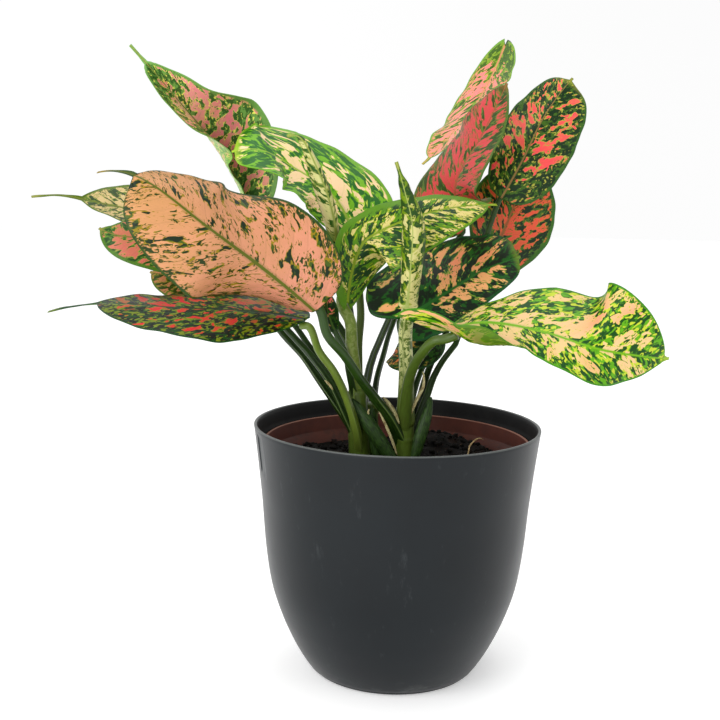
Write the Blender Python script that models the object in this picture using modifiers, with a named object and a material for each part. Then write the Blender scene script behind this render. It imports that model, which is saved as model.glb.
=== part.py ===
"""A red Chinese evergreen (aglaonema) in its nursery pot, standing in a round plastic cover pot.

The origin is the middle of the cover pot's base, +Z is up and -Y is the front. The script works in
metres. The tables of leaves and petioles are in millimetres and degrees.
"""

import math

import bmesh
import bpy
import numpy as np
from mathutils import Vector, noise

MM = 0.001
GAP = 0.3 * MM
WELD = 0.05 * MM

# Cover pot: outer profile as (radius, height) from the foot to the rim
COVER_PROFILE = (
    (40.5, 0), (45.5, 7), (50.5, 16), (55.8, 28), (60.6, 43), (63.6, 62), (65.9, 88), (70, 122.5))
COVER_WALL = 2.2 * MM
COVER_FLOOR = 3.0 * MM
COVER_LIP_ROUND = 0.7 * MM
COVER_ROWS = 10
POT_STEPS = 54

# Nursery pot: a plain tapered pot with a stepped rim band and drain holes
NURSERY_HEIGHT = 114.5 * MM
NURSERY_RIM_RADIUS = 65.1 * MM
NURSERY_BAND = 9.0 * MM
NURSERY_STEP = 1.6 * MM
NURSERY_BASE_RADIUS = 39.3 * MM
NURSERY_WALL = 1.2 * MM
NURSERY_FLOOR = 1.8 * MM
NURSERY_STEPS = 48
DRAIN_HOLES = 6
DRAIN_RADIUS = 4.0 * MM
DRAIN_CIRCLE = 27.0 * MM
DRAIN_SIDES = 12

# Soil: a bumpy top between the nursery pot's walls
SOIL_TOP = 101.0 * MM
SOIL_GRID = 18
SOIL_MOUND = 2.0 * MM
SOIL_BUMP = 1.4 * MM
SOIL_CLUMP = 14.0 * MM
SOIL_FRACTAL = (0.8, 2.1, 3)
SOIL_HOLE_SIDES = 20

# Leaf blades. BLADE_BUNCHING: how much closer the rows lie at the ends. BLADE_START, BLADE_END: least
# half width in mm at the base and at the tip. DRIP_POWER: exponent of the drip tail's outline. NARROW:
# half width in mm below which a blade flattens out. LEAST_CURL: degrees added so that none is zero. The
# others are shares of the length or of the half width
BLADE_THICKNESS = 0.8 * MM
BLADE_ROWS = 13
BLADE_COLUMNS = 6
BLADE_BUNCHING = 0.5
BLADE_START = 2.0
START_FADE = 0.1
BLADE_END = 0.7
DRIP_POWER = 0.7
NARROW = 4.0
LEAST_CURL = 0.01
LOBE_END = 0.3
LOBE_POWER = 1.5
HEART_PEAK = 0.625
FURL_START = 0.12
FURL_END = 0.32
FURL_FADE = 0.14

# Petioles and stems. PETIOLE_BUNCHING: how much closer the points lie towards the blade.
# PETIOLE_RUN_UP, PETIOLE_KEEL: mm before and beyond the blade's base. PETIOLE_TIP, STEM_TIP: share of
# the radius at the very end. SHEATH: mm over which a petiole's swollen root thins out
PETIOLE_POINTS = 10
PETIOLE_BUNCHING = 1.5
PETIOLE_RUN_UP = 5.0
PETIOLE_KEEL = 2.0
PETIOLE_TIP = 0.7
PETIOLE_SIDES = 2
SHEATH = 18.0
STEM_FOOT = 10.0 * MM
STEM_POINTS = 6
STEM_TIP = 0.5
STEM_SIDES = 3

# Stems: (foot x, foot y), (top x, top y, top z), radius at the foot and at the top
STEMS = {
    "shoot_left": ((-18, -5), (-20, -6, 141), 5.2, 4.6),
    "shoot_back": ((-13, 9), (-13, 9, 131), 4.2, 3.6),
    "shoot_right": ((4, -8), (3, -10, 134), 5.2, 4.2),
}

# Petioles: shoot, height of the root on its stem, the points it passes, radius at the root and at the
# blade, and how far its end lies below the blade's upper side
PETIOLES = {
    "leaf_centre_front": (
        "shoot_left", 132,
        ((-23, -10, 162), (-24, -13, 174)),
        4.2, 2.6, 1.65),
    "leaf_centre_broad": (
        "shoot_left", 124,
        ((-20, 0, 146), (-20, 5, 160), (-19, 7, 175), (-21, 4, 195)),
        3.6, 1.8, 1.6),
    "leaf_lower_left": (
        "shoot_left", 108,
        ((-20, -14, 122), (-25, -17, 138), (-31, -21, 151), (-38, -24, 161)),
        3.8, 2.4, 2),
    "leaf_left_coral": (
        "shoot_left", 114,
        ((-25, -6, 127), (-33, -6, 143), (-43, -4, 156), (-53, 0, 166), (-67, 3, 180)),
        3.2, 1.6, 0.8),
    "leaf_left_slender": (
        "shoot_left", 119,
        ((-22, 1, 120), (-30, 2, 131), (-39, 4, 143), (-47, 6, 154), (-57, 9, 164), (-76, 12, 188)),
        3.2, 1.6, 1.2),
    "leaf_upper_left": (
        "shoot_left", 128,
        ((-22, 6, 150), (-25, 11, 160), (-33, 17, 172), (-42, 24, 186)),
        3.2, 1.8, 0.75),
    "leaf_left_inner": (
        "shoot_left", 122,
        ((-26, -2, 133), (-33, 0, 144), (-44, 6, 159), (-54, 13, 171)),
        2.6, 1.4, 0.85),
    "leaf_young_hooked": (
        "shoot_left", 136,
        ((-21, -2, 149), (-22, -3, 161), (-24, -5, 178), (-28, -10, 197)),
        2.8, 1.4, 2),
    "leaf_small_left": (
        "shoot_left", 130,
        ((-24, -12, 149), (-26, -14, 159)),
        2.2, 1.2, 0.95),
    "leaf_top_right": (
        "shoot_back", 120,
        ((-17, 16, 134), (-15, 20, 140), (-13, 26, 149), (-10, 32, 156), (-5, 41, 167),
         (3, 52, 183), (22, 67, 226), (45, 82, 285)),
        3.0, 1.6, 1.15),
    "leaf_upper_inner": (
        "shoot_back", 114,
        ((-11, 13, 136), (-10, 16, 143), (-7, 19, 154), (-4, 22, 165), (5, 28, 186)),
        2.6, 1.3, 1.5),
    "leaf_front_salmon": (
        "shoot_right", 112,
        ((-4, -15, 128), (-11, -19, 138), (-19, -25, 149), (-26, -30, 160), (-34, -34, 170)),
        4.0, 2.3, 0.7),
    "leaf_spike": (
        "shoot_right", 124,
        ((3, -15, 154), (2, -20, 169)),
        4.0, 2.6, 2),
    "leaf_lower_right": (
        "shoot_right", 118,
        ((4, -19, 145), (6, -26, 155), (9, -33, 162), (14, -40, 169)),
        4.4, 2.5, 1),
    "leaf_centre_dark": (
        "shoot_right", 122,
        ((4, -6, 143), (3, -8, 160)),
        3.0, 1.8, 1.8),
    "leaf_upper_right": (
        "shoot_right", 108,
        ((12, -2, 131), (15, 1, 139), (17, 5, 144), (21, 9, 151), (25, 13, 156), (29, 16, 161),
         (36, 24, 187), (42, 27, 209)),
        3.6, 1.4, 1.15),
    "leaf_right_behind": (
        "shoot_right", 114,
        ((10, 2, 131), (13, 7, 142), (16, 11, 150), (22, 17, 162)),
        3.0, 1.4, 1.2),
    "leaf_small_drooping": (
        "shoot_right", 118,
        ((7, -2, 135), (10, 3, 145), (14, 9, 153)),
        2.4, 1.3, 1.3),
}

# Leaf blades. midrib: points from the base to the tip of the drip tail. facing: where the upper side
# looks at the base and at the tip, as (turned right from the front, raised). half: widest half width.
# fold: how far each half rises from the midrib. opening: how that changes towards the tip. curl: how
# far each half bends over its width. Pairs are (left half, right half), seen with the tip upwards.
# widest, shoulder: shares of the length where the blade is widest and where its tail begins. blunt,
# taper: exponents of the outline at the base and at the tip. lobe: how far each half reaches back at
# the base. heart: share of the half width that a heart-shaped base starts with. furl: curl added to
# each half at the base, with furl_fold added to its fold and furl_width to its width. rolled: the
# blade wraps its petiole.
LEAVES = {
    "leaf_upper_left": dict(
        midrib=((-74, 34, 220), (-90, 36, 250), (-110, 15, 277), (-131, 8, 301)),
        facing=((22, 48), (-19, 18)), half=(24, 31), fold=(57, 42), opening=(-2, 24), curl=(11, 9),
        widest=0.40, shoulder=0.90, blunt=0.50, taper=0.60, lobe=(2, 2), tail=1.0, colour="coral"),
    "leaf_front_salmon": dict(
        midrib=((-40, -39, 181), (-62, -53, 201), (-85, -68, 220), (-112, -68, 239), (-132, -59, 241)),
        facing=((-46, 14), (-16, 59)), half=(30, 32), fold=(-9, -12), opening=(-2, -4), curl=(-27, -31),
        widest=0.28, shoulder=0.84, blunt=0.24, taper=0.25, lobe=(0, 0), tail=1.2, colour="salmon"),
    "leaf_left_slender": dict(
        midrib=((-99, 17, 210), (-125, 20, 221), (-154, 11, 228), (-166, 7, 230), (-178, 3, 229)),
        facing=((-12, 53), (-11, 50)), half=(20, 18), fold=(14, 4), opening=(2, -2), curl=(0, 0),
        widest=0.40, shoulder=0.72, blunt=0.50, taper=0.70, lobe=(2, 2), tail=1.2, colour="cream"),
    "leaf_left_coral": dict(
        midrib=((-87, 4, 194), (-110, -5, 209), (-133, -11, 212), (-144, -5, 215)),
        facing=((-1, 40), (-10, 26)), half=(17, 18), fold=(7, -5), opening=(0, -4), curl=(-19, -22),
        widest=0.51, shoulder=0.98, blunt=0.50, taper=0.80, lobe=(2, 2), tail=0.6, colour="coral"),
    "leaf_left_inner": dict(
        midrib=((-69, 22, 182), (-97, 17, 190), (-116, 13, 192), (-124, 17, 193)),
        facing=((0, 40), (-10, 24)), half=(16, 15), fold=(7, 5), opening=(1, 0), curl=(-21, -15),
        widest=0.56, shoulder=0.98, blunt=0.50, taper=0.70, lobe=(2, 2), tail=0.6, colour="pink"),
    "leaf_lower_left": dict(
        midrib=((-45, -30, 177), (-68, -22, 179), (-103, -22, 180), (-141, -21, 181), (-166, -16, 176)),
        facing=((11, 65), (2, 71)), half=(28, 24), fold=(1, -8), opening=(7, -5), curl=(-10, 0),
        widest=0.32, shoulder=0.79, blunt=0.55, taper=0.50, lobe=(2, 2), tail=1.2, colour="red"),
    "leaf_small_left": dict(
        midrib=((-31, -16, 170), (-34, -20, 178), (-35, -25, 185), (-37, -29, 191)),
        facing=((10, 10), (10, 10)), half=(6, 5), fold=(30, 30), opening=(0, 0), curl=(0, 0),
        widest=0.45, shoulder=0.95, blunt=0.50, taper=0.80, lobe=(1, 1), tail=0.8, colour="red"),
    "leaf_centre_broad": dict(
        midrib=((-23, -6, 213), (-34, 4, 233), (-55, 1, 247), (-67, -6, 253), (-81, -7, 252)),
        facing=((6, 58), (-20, 37)), half=(24, 34), fold=(18, 1), opening=(-11, -11), curl=(12, -20),
        widest=0.40, shoulder=0.98, blunt=0.35, taper=0.25, lobe=(1, 1), tail=0.6, colour="lime"),
    "leaf_centre_front": dict(
        midrib=((-25, -16, 183), (-22, -22, 203), (-16, -24, 214), (12, -18, 226), (44, -7, 230)),
        facing=((34, 25), (21, 54)), half=(13, 20), fold=(1, 4), opening=(6, 4), curl=(-20, -21),
        widest=0.41, shoulder=0.95, blunt=0.53, taper=0.56, lobe=(4, 4), tail=1.0, colour="lime"),
    "leaf_centre_dark": dict(
        midrib=((3, -10, 176), (26, 0, 190), (40, 6, 198), (58, 7, 205)),
        facing=((-8, 8), (-19, 29)), half=(30, 16), fold=(-7, -1), opening=(-5, -1), curl=(-16, -13),
        widest=0.31, shoulder=0.98, blunt=0.25, taper=0.25, lobe=(13, 8), heart=(0.65, 0.5), tail=1.2,
        colour="dark"),
    "leaf_top_right": dict(
        midrib=((53, 77, 309), (43, 72, 287), (28, 56, 267), (11, 48, 249)),
        facing=((-46, 14), (-47, 11)), half=(26, 19), fold=(20, -1), opening=(7, -1), curl=(0, -13),
        widest=0.39, shoulder=0.94, blunt=0.44, taper=0.46, lobe=(7, 7), tail=1.2, colour="pink"),
    "leaf_upper_inner": dict(
        midrib=((32, 25, 218), (26, 16, 239), (38, 10, 264), (48, 7, 287)),
        facing=((-15, 54), (-17, 34)), half=(26, 21), fold=(-13, 19), opening=(1, 10), curl=(-24, -2),
        widest=0.34, shoulder=0.98, blunt=0.43, taper=0.57, lobe=(1, 1), tail=1.2, colour="pink"),
    "leaf_upper_right": dict(
        midrib=((50, 26, 233), (60, 31, 251), (71, 35, 274), (85, 40, 293)),
        facing=((8, 20), (3, 29)), half=(18, 23), fold=(-8, -6), opening=(-11, -4), curl=(-20, -18),
        widest=0.48, shoulder=0.97, blunt=0.36, taper=0.25, lobe=(0, 0), tail=0.8, colour="red"),
    "leaf_right_behind": dict(
        midrib=((43, 32, 198), (53, 40, 215), (62, 46, 237), (70, 50, 258)),
        facing=((20, 12), (10, 20)), half=(23, 26), fold=(8, -2), opening=(2, 1), curl=(-10, -16),
        widest=0.47, shoulder=0.96, blunt=0.52, taper=0.83, lobe=(2, 2), tail=1.2, colour="coral"),
    "leaf_lower_right": dict(
        midrib=((21, -42, 175), (37, -45, 179), (63, -46, 175), (85, -53, 169), (107, -47, 165),
                (121, -38, 163)),
        facing=((13, 84), (38, -8)), half=(33, 17), fold=(5, 0), opening=(8, -10), curl=(-6, -10),
        widest=0.56, shoulder=0.96, blunt=0.56, taper=0.69, lobe=(2, 20), tail=1.4, furl=(0, 155),
        furl_fold=(0, -55), furl_width=(0, 21), colour="cream"),
    "leaf_small_drooping": dict(
        midrib=((20, 12, 164), (12, 6, 161), (2, 3, 156), (-6, 7, 152)),
        facing=((-5, 37), (-8, 41)), half=(12, 11), fold=(3, -3), opening=(3, -2), curl=(-8, -17),
        widest=0.43, shoulder=0.97, blunt=0.50, taper=0.60, lobe=(2, 2), tail=1.2, colour="dark"),
    "leaf_spike": dict(
        midrib=((2, -34, 183), (3, -40, 203), (3, -44, 221), (-1, -47, 236), (-5, -48, 248)),
        facing=((170, 0), (170, 0)), half=(9, 10), fold=(5, 5), opening=(0, 0), curl=(100, 100),
        widest=0.45, shoulder=0.92, blunt=0.50, taper=0.90, lobe=(0, 0), heart=(0.8, 0.8), tail=0.8,
        rolled=True, colour="marbled"),
    "leaf_young_hooked": dict(
        midrib=((-31, -17, 212), (-35, -22, 231), (-42, -24, 248), (-48, -24, 258), (-54, -21, 259)),
        facing=((200, 0), (200, 0)), half=(10, 10), fold=(20, 20), opening=(0, 0), curl=(120, 120),
        widest=0.40, shoulder=0.92, blunt=0.40, taper=0.90, lobe=(0, 0), heart=(0.7, 0.7), tail=0.8,
        rolled=True, colour="marbled"),
}

# Materials: base colour, roughness
PLASTIC_DARK = ((0.028, 0.034, 0.040), 0.42)
PLASTIC_BROWN = ((0.180, 0.055, 0.032), 0.60)
SOIL_COLOUR = ((0.016, 0.011, 0.008), 0.95)
STEM_COLOUR = ((0.045, 0.120, 0.030), 0.38)
LEAF_COLOURS = {
    "salmon": (0.78, 0.36, 0.22),
    "coral": (0.70, 0.20, 0.13),
    "red": (0.55, 0.10, 0.07),
    "pink": (0.75, 0.22, 0.17),
    "cream": (0.62, 0.58, 0.26),
    "lime": (0.30, 0.50, 0.10),
    "dark": (0.09, 0.16, 0.05),
    "marbled": (0.42, 0.52, 0.30),
}
LEAF_ROUGHNESS = 0.32


def clear_scene():
    for obj in list(bpy.data.objects):
        bpy.data.objects.remove(obj)


def new_collection(name, hidden=False):
    collection = bpy.data.collections.new(name)
    bpy.context.scene.collection.children.link(collection)
    collection.hide_render = hidden
    return collection


def material(name, colour, roughness):
    made = bpy.data.materials.get(name) or bpy.data.materials.new(name)
    made.use_nodes = True
    shader = made.node_tree.nodes["Principled BSDF"]
    shader.inputs["Base Color"].default_value = (*colour, 1)
    shader.inputs["Roughness"].default_value = roughness
    shader.inputs["Metallic"].default_value = 0.0
    made.diffuse_color = (*colour, 1)
    return made


def new_object(name, mesh, collection, finish):
    obj = bpy.data.objects.new(name, mesh)
    obj.data.materials.append(finish)
    collection.objects.link(obj)
    return obj


def evaluated_mesh(obj):
    graph = bpy.context.evaluated_depsgraph_get()
    return bpy.data.meshes.new_from_object(obj.evaluated_get(graph), depsgraph=graph)


# Curves and the shape of a blade, all in millimetres


def unit(vectors):
    return vectors / np.linalg.norm(vectors, axis=-1, keepdims=True)


def smooth(points, share):
    """Points of a smooth curve through the given points, at shares of their chord length."""
    points = np.asarray(points, float)
    share = np.asarray(share, float)
    step = np.linalg.norm(np.diff(points, axis=0), axis=1)
    knot = np.concatenate([[0], np.cumsum(step)]) / step.sum()
    slope = np.empty_like(points)
    slope[1:-1] = (points[2:] - points[:-2]) / (knot[2:] - knot[:-2])[:, None]
    slope[0] = 2 * (points[1] - points[0]) / knot[1] - slope[1]
    slope[-1] = 2 * (points[-1] - points[-2]) / (1 - knot[-2]) - slope[-2]
    i = np.clip(np.searchsorted(knot, share, side="right") - 1, 0, len(points) - 2)
    width = (knot[i + 1] - knot[i])[..., None]
    x = (share - knot[i])[..., None] / width
    start = (1 + 2 * x) * (1 - x) ** 2 * points[i] + x * (1 - x) ** 2 * width * slope[i]
    end = x * x * (3 - 2 * x) * points[i + 1] + x * x * (x - 1) * width * slope[i + 1]
    return start + end


def facing_vector(turned, raised):
    turned, raised = math.radians(turned), math.radians(raised)
    level = math.cos(raised)
    return np.array([level * math.sin(turned), -level * math.cos(turned), math.sin(raised)])


def frame_at(leaf, along):
    """The midrib's points, with unit vectors along it, to the right half and out of the upper side."""
    reach = 0.001
    ahead = smooth(leaf["midrib"], np.clip(along + reach, 0, 1))
    behind = smooth(leaf["midrib"], np.clip(along - reach, 0, 1))
    forward = unit(ahead - behind)
    start, end = (facing_vector(*facing) for facing in leaf["facing"])
    up = start * (1 - along[..., None]) + end * along[..., None]
    up = unit(up - (up * forward).sum(-1, keepdims=True) * forward)
    return smooth(leaf["midrib"], along), forward, np.cross(forward, up), up


def half_width(leaf, along, widest_half):
    """Half width of the blade: a blunt base, a tapering tip and a narrow drip tail."""
    widest, shoulder = leaf["widest"], leaf["shoulder"]
    base = np.sin(math.pi / 2 * np.clip(along / widest, 0, 1)) ** leaf["blunt"]
    fall = np.clip((along - widest) / (shoulder - widest), 0, 1)
    tip = np.cos(math.pi / 2 * fall) ** leaf["taper"]
    drip = leaf["tail"] * np.clip((1 - along) / (1 - shoulder), 0, 1) ** DRIP_POWER
    width = np.hypot(widest_half * np.where(along < widest, base, tip), fall * drip)
    return np.maximum(width, BLADE_END + (BLADE_START - BLADE_END) * np.clip(1 - along / START_FADE, 0, 1))


def blade_points(leaf, along, across):
    """Points of the upper side: along from base 0 to tip 1, across from left margin -1 to right 1."""
    middle, forward, right, up = frame_at(leaf, along)
    outward = np.abs(across)
    side = (across > 0).astype(int)

    def value(key, default=(0, 0)):
        return np.array(leaf.get(key, default), float)[side]

    base = np.clip(1 - along / LOBE_END, 0, 1)
    furled = np.clip((FURL_END - along) / FURL_FADE, 0, 1)
    heart = value("heart")
    width = half_width(leaf, along, value("half"))
    width = np.hypot(width, heart * value("half") * base) + value("furl_width") * furled
    narrow = np.clip(width / NARROW, 0, 1)
    fold = np.radians(value("fold") + value("opening") * along) * narrow
    fold = fold + np.radians(value("furl_fold")) * furled * np.clip(along / FURL_START, 0, 1)
    curl = np.radians((value("curl") + value("furl") * furled) * narrow + LEAST_CURL)
    sideways = (np.sin(fold + curl * outward) - np.sin(fold)) / curl
    upward = (np.cos(fold) - np.cos(fold + curl * outward)) / curl
    reach = np.where(heart > 0, np.sin(math.pi / 2 * outward / HEART_PEAK), outward**LOBE_POWER)
    back = value("lobe") * reach * base**2
    offset = right * (np.sign(across) * width * sideways)[..., None] + up * (width * upward)[..., None]
    return middle + offset - forward * back[..., None]


# Pots and soil


def turned(name, profile, collection, finish, steps=POT_STEPS):
    """A solid turned round Z from a profile of (radius, height) that runs down its outer side."""
    mesh = bpy.data.meshes.new(name)
    edges = [(i, i + 1) for i in range(len(profile) - 1)]
    mesh.from_pydata([(radius, 0, height) for radius, height in profile], edges, [])
    obj = new_object(name, mesh, collection, finish)
    screw = obj.modifiers.new("Turn", "SCREW")
    screw.steps = screw.render_steps = steps
    screw.use_merge_vertices = True
    screw.merge_threshold = WELD
    screw.use_smooth_shade = True
    return obj


def cover_outer(share):
    return smooth(COVER_PROFILE, share) * MM


def make_cover_pot(collection):
    share = np.linspace(0, 1, COVER_ROWS)
    outer = cover_outer(share)
    inner = outer - [COVER_WALL, 0]
    inner = inner[inner[:, 1] > 2 * COVER_FLOOR]
    floor_radius = inner[0, 0] - COVER_WALL
    rim_radius, rim = outer[-1]
    lip = COVER_LIP_ROUND
    lip_inner = [(rim_radius - COVER_WALL, rim - lip), (rim_radius - COVER_WALL + lip, rim)]
    lip_outer = [(rim_radius - lip, rim), (rim_radius, rim - lip)]
    profile = [(0, COVER_FLOOR), (floor_radius, COVER_FLOOR)]
    profile += [tuple(point) for point in inner[:-1]]
    profile += lip_inner + lip_outer
    profile += [tuple(point) for point in outer[-2::-1]]
    profile += [(outer[0, 0] - lip, 0), (0, 0)]
    profile[-3] = (outer[0, 0], lip)
    return turned("cover_pot", profile, collection, material("cover_plastic", *PLASTIC_DARK))


def nursery_wall(height):
    """Outer radius of the nursery pot's tapered wall below its rim band."""
    bottom = COVER_FLOOR + GAP
    top_radius = NURSERY_RIM_RADIUS - NURSERY_STEP
    share = (height - bottom) / (NURSERY_HEIGHT - NURSERY_BAND - bottom)
    return NURSERY_BASE_RADIUS + (top_radius - NURSERY_BASE_RADIUS) * share


def make_nursery_pot(collection, cutters):
    bottom = COVER_FLOOR + GAP
    band = NURSERY_HEIGHT - NURSERY_BAND
    inside_floor = bottom + NURSERY_FLOOR
    rim_inner = NURSERY_RIM_RADIUS - NURSERY_WALL
    profile = [
        (0, inside_floor),
        (nursery_wall(inside_floor) - NURSERY_WALL, inside_floor),
        (nursery_wall(band) - NURSERY_WALL, band),
        (rim_inner, band + NURSERY_STEP),
        (rim_inner, NURSERY_HEIGHT),
        (NURSERY_RIM_RADIUS, NURSERY_HEIGHT),
        (NURSERY_RIM_RADIUS, band),
        (nursery_wall(band), band),
        (nursery_wall(bottom), bottom),
        (0, bottom),
    ]
    finish = material("nursery_plastic", *PLASTIC_BROWN)
    pot = turned("nursery_pot", profile, collection, finish, NURSERY_STEPS)
    for i in range(DRAIN_HOLES):
        angle = 2 * math.pi * i / DRAIN_HOLES
        place = (DRAIN_CIRCLE * math.cos(angle), DRAIN_CIRCLE * math.sin(angle), bottom)
        cut_cylinder(pot, cutters, f"drain_{i + 1}", place, DRAIN_RADIUS, 4 * NURSERY_FLOOR, DRAIN_SIDES)
    return pot


def cut_cylinder(obj, cutters, name, centre, radius, depth, sides):
    bm = bmesh.new()
    bmesh.ops.create_cone(bm, cap_ends=True, segments=sides, radius1=radius, radius2=radius, depth=depth)
    mesh = bpy.data.meshes.new(name)
    bm.to_mesh(mesh)
    bm.free()
    cutter = bpy.data.objects.new(name, mesh)
    cutter.location = centre
    cutter.hide_render = True
    cutter.display_type = "WIRE"
    cutters.objects.link(cutter)
    cut = obj.modifiers.new(name, "BOOLEAN")
    cut.operation = "DIFFERENCE"
    cut.solver = "EXACT"
    cut.object = cutter


def soil_height(x, y, radius):
    """Height of the soil's top, with clumps and a mound that fades at the wall."""
    spread = min(1, math.hypot(x, y) / radius)
    clumps = noise.fractal(Vector((x, y, 0)) / SOIL_CLUMP, *SOIL_FRACTAL) * SOIL_BUMP
    return SOIL_TOP + SOIL_MOUND * (1 - spread**2) + clumps


def make_soil(collection, cutters):
    bottom = COVER_FLOOR + NURSERY_FLOOR + 2 * GAP
    # The pot's wall is faceted, so it lies closest in the middle of a facet
    facet = math.cos(math.pi / NURSERY_STEPS)
    top_radius = (nursery_wall(SOIL_TOP) - NURSERY_WALL) * facet - GAP
    bottom_radius = (nursery_wall(bottom) - NURSERY_WALL) * facet - GAP
    bm = bmesh.new()
    bmesh.ops.create_grid(bm, x_segments=SOIL_GRID, y_segments=SOIL_GRID, size=1)
    for vertex in bm.verts:
        x, y = vertex.co.x, vertex.co.y
        # A square grid drawn onto a disc
        disc_x = x * math.sqrt(1 - y * y / 2) * top_radius
        disc_y = y * math.sqrt(1 - x * x / 2) * top_radius
        at_wall = math.hypot(disc_x, disc_y) > top_radius - WELD
        height = SOIL_TOP if at_wall else soil_height(disc_x, disc_y, top_radius)
        vertex.co = (disc_x, disc_y, height)
    rim = [edge for edge in bm.edges if edge.is_boundary]
    walls = bmesh.ops.extrude_edge_only(bm, edges=rim)["geom"]
    lower = [item for item in walls if isinstance(item, bmesh.types.BMVert)]
    for vertex in lower:
        shrink = bottom_radius / top_radius
        vertex.co = (vertex.co.x * shrink, vertex.co.y * shrink, bottom)
    bmesh.ops.contextual_create(bm, geom=[edge for edge in bm.edges if edge.is_boundary])
    bmesh.ops.recalc_face_normals(bm, faces=bm.faces)
    bmesh.ops.triangulate(bm, faces=bm.faces)
    mesh = bpy.data.meshes.new("soil")
    bm.to_mesh(mesh)
    bm.free()
    soil = new_object("soil", mesh, collection, material("potting_soil", *SOIL_COLOUR))
    for name, (foot, _, radius, _) in STEMS.items():
        depth = 2 * (STEM_FOOT + 3 * GAP)
        place = (foot[0] * MM, foot[1] * MM, SOIL_TOP)
        cut_cylinder(soil, cutters, f"hole_{name}", place, radius * MM + 3 * GAP, depth, SOIL_HOLE_SIDES)
    return soil


# Shoots


def tube(name, points, radii, collection, sides):
    """A closed tube through points in millimetres. Blender gives it 2 * sides + 4 flat sides."""
    curve = bpy.data.curves.new(name, "CURVE")
    curve.dimensions = "3D"
    curve.bevel_depth = MM
    curve.bevel_resolution = sides
    curve.use_fill_caps = True
    spline = curve.splines.new("POLY")
    spline.points.add(len(points) - 1)
    for target, point, radius in zip(spline.points, points, radii):
        target.co = (*(np.asarray(point) * MM), 1)
        target.radius = radius
    guide = bpy.data.objects.new(name + "_guide", curve)
    collection.objects.link(guide)
    mesh = evaluated_mesh(guide)
    bpy.data.objects.remove(guide)
    bm = bmesh.new()
    bm.from_mesh(mesh)
    bmesh.ops.remove_doubles(bm, verts=bm.verts, dist=WELD / 50)
    bmesh.ops.recalc_face_normals(bm, faces=bm.faces)
    bm.to_mesh(mesh)
    bm.free()
    obj = bpy.data.objects.new(name, mesh)
    collection.objects.link(obj)
    return obj


def stem_line(shoot):
    """Foot and top of a shoot's stem, in millimetres."""
    foot, top, _, _ = STEMS[shoot]
    return np.array([*foot, (SOIL_TOP - STEM_FOOT) / MM]), np.array(top, float)


def stem_point(shoot, height):
    foot, top = stem_line(shoot)
    return foot + (top - foot) * (height - foot[2]) / (top[2] - foot[2])


def petiole_route(leaf_name):
    """Points of a petiole, from its root inside the stem to its end under the blade's midrib."""
    shoot, root_height, through, _, end_radius, below = PETIOLES[leaf_name]
    leaf = LEAVES[leaf_name]
    keel_share = PETIOLE_KEEL / np.linalg.norm(np.diff(leaf["midrib"], axis=0), axis=1).sum()
    base, forward, _, up = (item[0] for item in frame_at(leaf, np.array([0.0])))
    keel, _, _, keel_up = (item[0] for item in frame_at(leaf, np.array([keel_share])))
    # A rolled blade's petiole lies inside the roll
    drop = BLADE_THICKNESS / MM - below - end_radius if leaf.get("rolled") else end_radius + below
    run_up = base - forward * PETIOLE_RUN_UP - up * drop
    corners = [stem_point(shoot, root_height), *through, run_up, keel - keel_up * drop]
    # The points lie closer together towards the blade, where the petiole bends under it
    return smooth(corners, 1 - np.linspace(1, 0, PETIOLE_POINTS) ** PETIOLE_BUNCHING)


def join(obj, pieces):
    """Fuses the objects of a collection into obj and removes them."""
    union = obj.modifiers.new("Fuse", "BOOLEAN")
    union.operation = "UNION"
    union.operand_type = "COLLECTION"
    union.solver = "EXACT"
    union.collection = pieces
    fused = evaluated_mesh(obj)
    obj.modifiers.remove(union)
    obj.data = fused
    for piece in list(pieces.objects):
        bpy.data.objects.remove(piece)
    bpy.data.collections.remove(pieces)


def make_shoot(name, collection):
    foot, top = stem_line(name)
    _, _, foot_radius, top_radius = STEMS[name]
    share = np.linspace(0, 1, STEM_POINTS)
    route = foot + (top - foot) * share[:, None]
    radii = foot_radius + (top_radius - foot_radius) * share
    radii[-1] *= STEM_TIP
    stem = tube(name, route, radii, collection, STEM_SIDES)
    pieces = new_collection(name + "_petioles", hidden=True)
    for leaf_name, (shoot, _, _, root_radius, end_radius, _) in PETIOLES.items():
        if shoot != name:
            continue
        route = petiole_route(leaf_name)
        from_root = np.linalg.norm(route - route[0], axis=1)
        radii = end_radius + (root_radius - end_radius) * np.exp(-from_root / SHEATH)
        radii[-1] *= PETIOLE_TIP
        tube(f"petiole_{leaf_name}", route, radii, pieces, PETIOLE_SIDES)
    join(stem, pieces)
    stem.data.materials.clear()
    stem.data.materials.append(material("petiole_green", *STEM_COLOUR))
    return stem


# Leaves


def make_leaf(name, collection):
    leaf = LEAVES[name]
    bm = bmesh.new()
    bmesh.ops.create_grid(bm, x_segments=BLADE_ROWS, y_segments=BLADE_COLUMNS, size=1)
    grid = np.array([vertex.co[:2] for vertex in bm.verts])
    even = (grid[:, 0] + 1) / 2
    bunched = (1 - np.cos(math.pi * even)) / 2
    along = even + (bunched - even) * BLADE_BUNCHING
    for vertex, point in zip(bm.verts, blade_points(leaf, along, -grid[:, 1])):
        vertex.co = point * MM
    bmesh.ops.triangulate(bm, faces=bm.faces)
    mesh = bpy.data.meshes.new(name)
    bm.to_mesh(mesh)
    bm.free()
    mesh.shade_smooth()
    colour = leaf["colour"]
    finish = material(f"leaf_{colour}", LEAF_COLOURS[colour], LEAF_ROUGHNESS)
    obj = new_object(name, mesh, collection, finish)
    solid = obj.modifiers.new("Thickness", "SOLIDIFY")
    solid.thickness = BLADE_THICKNESS
    solid.offset = -1
    return obj


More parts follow.
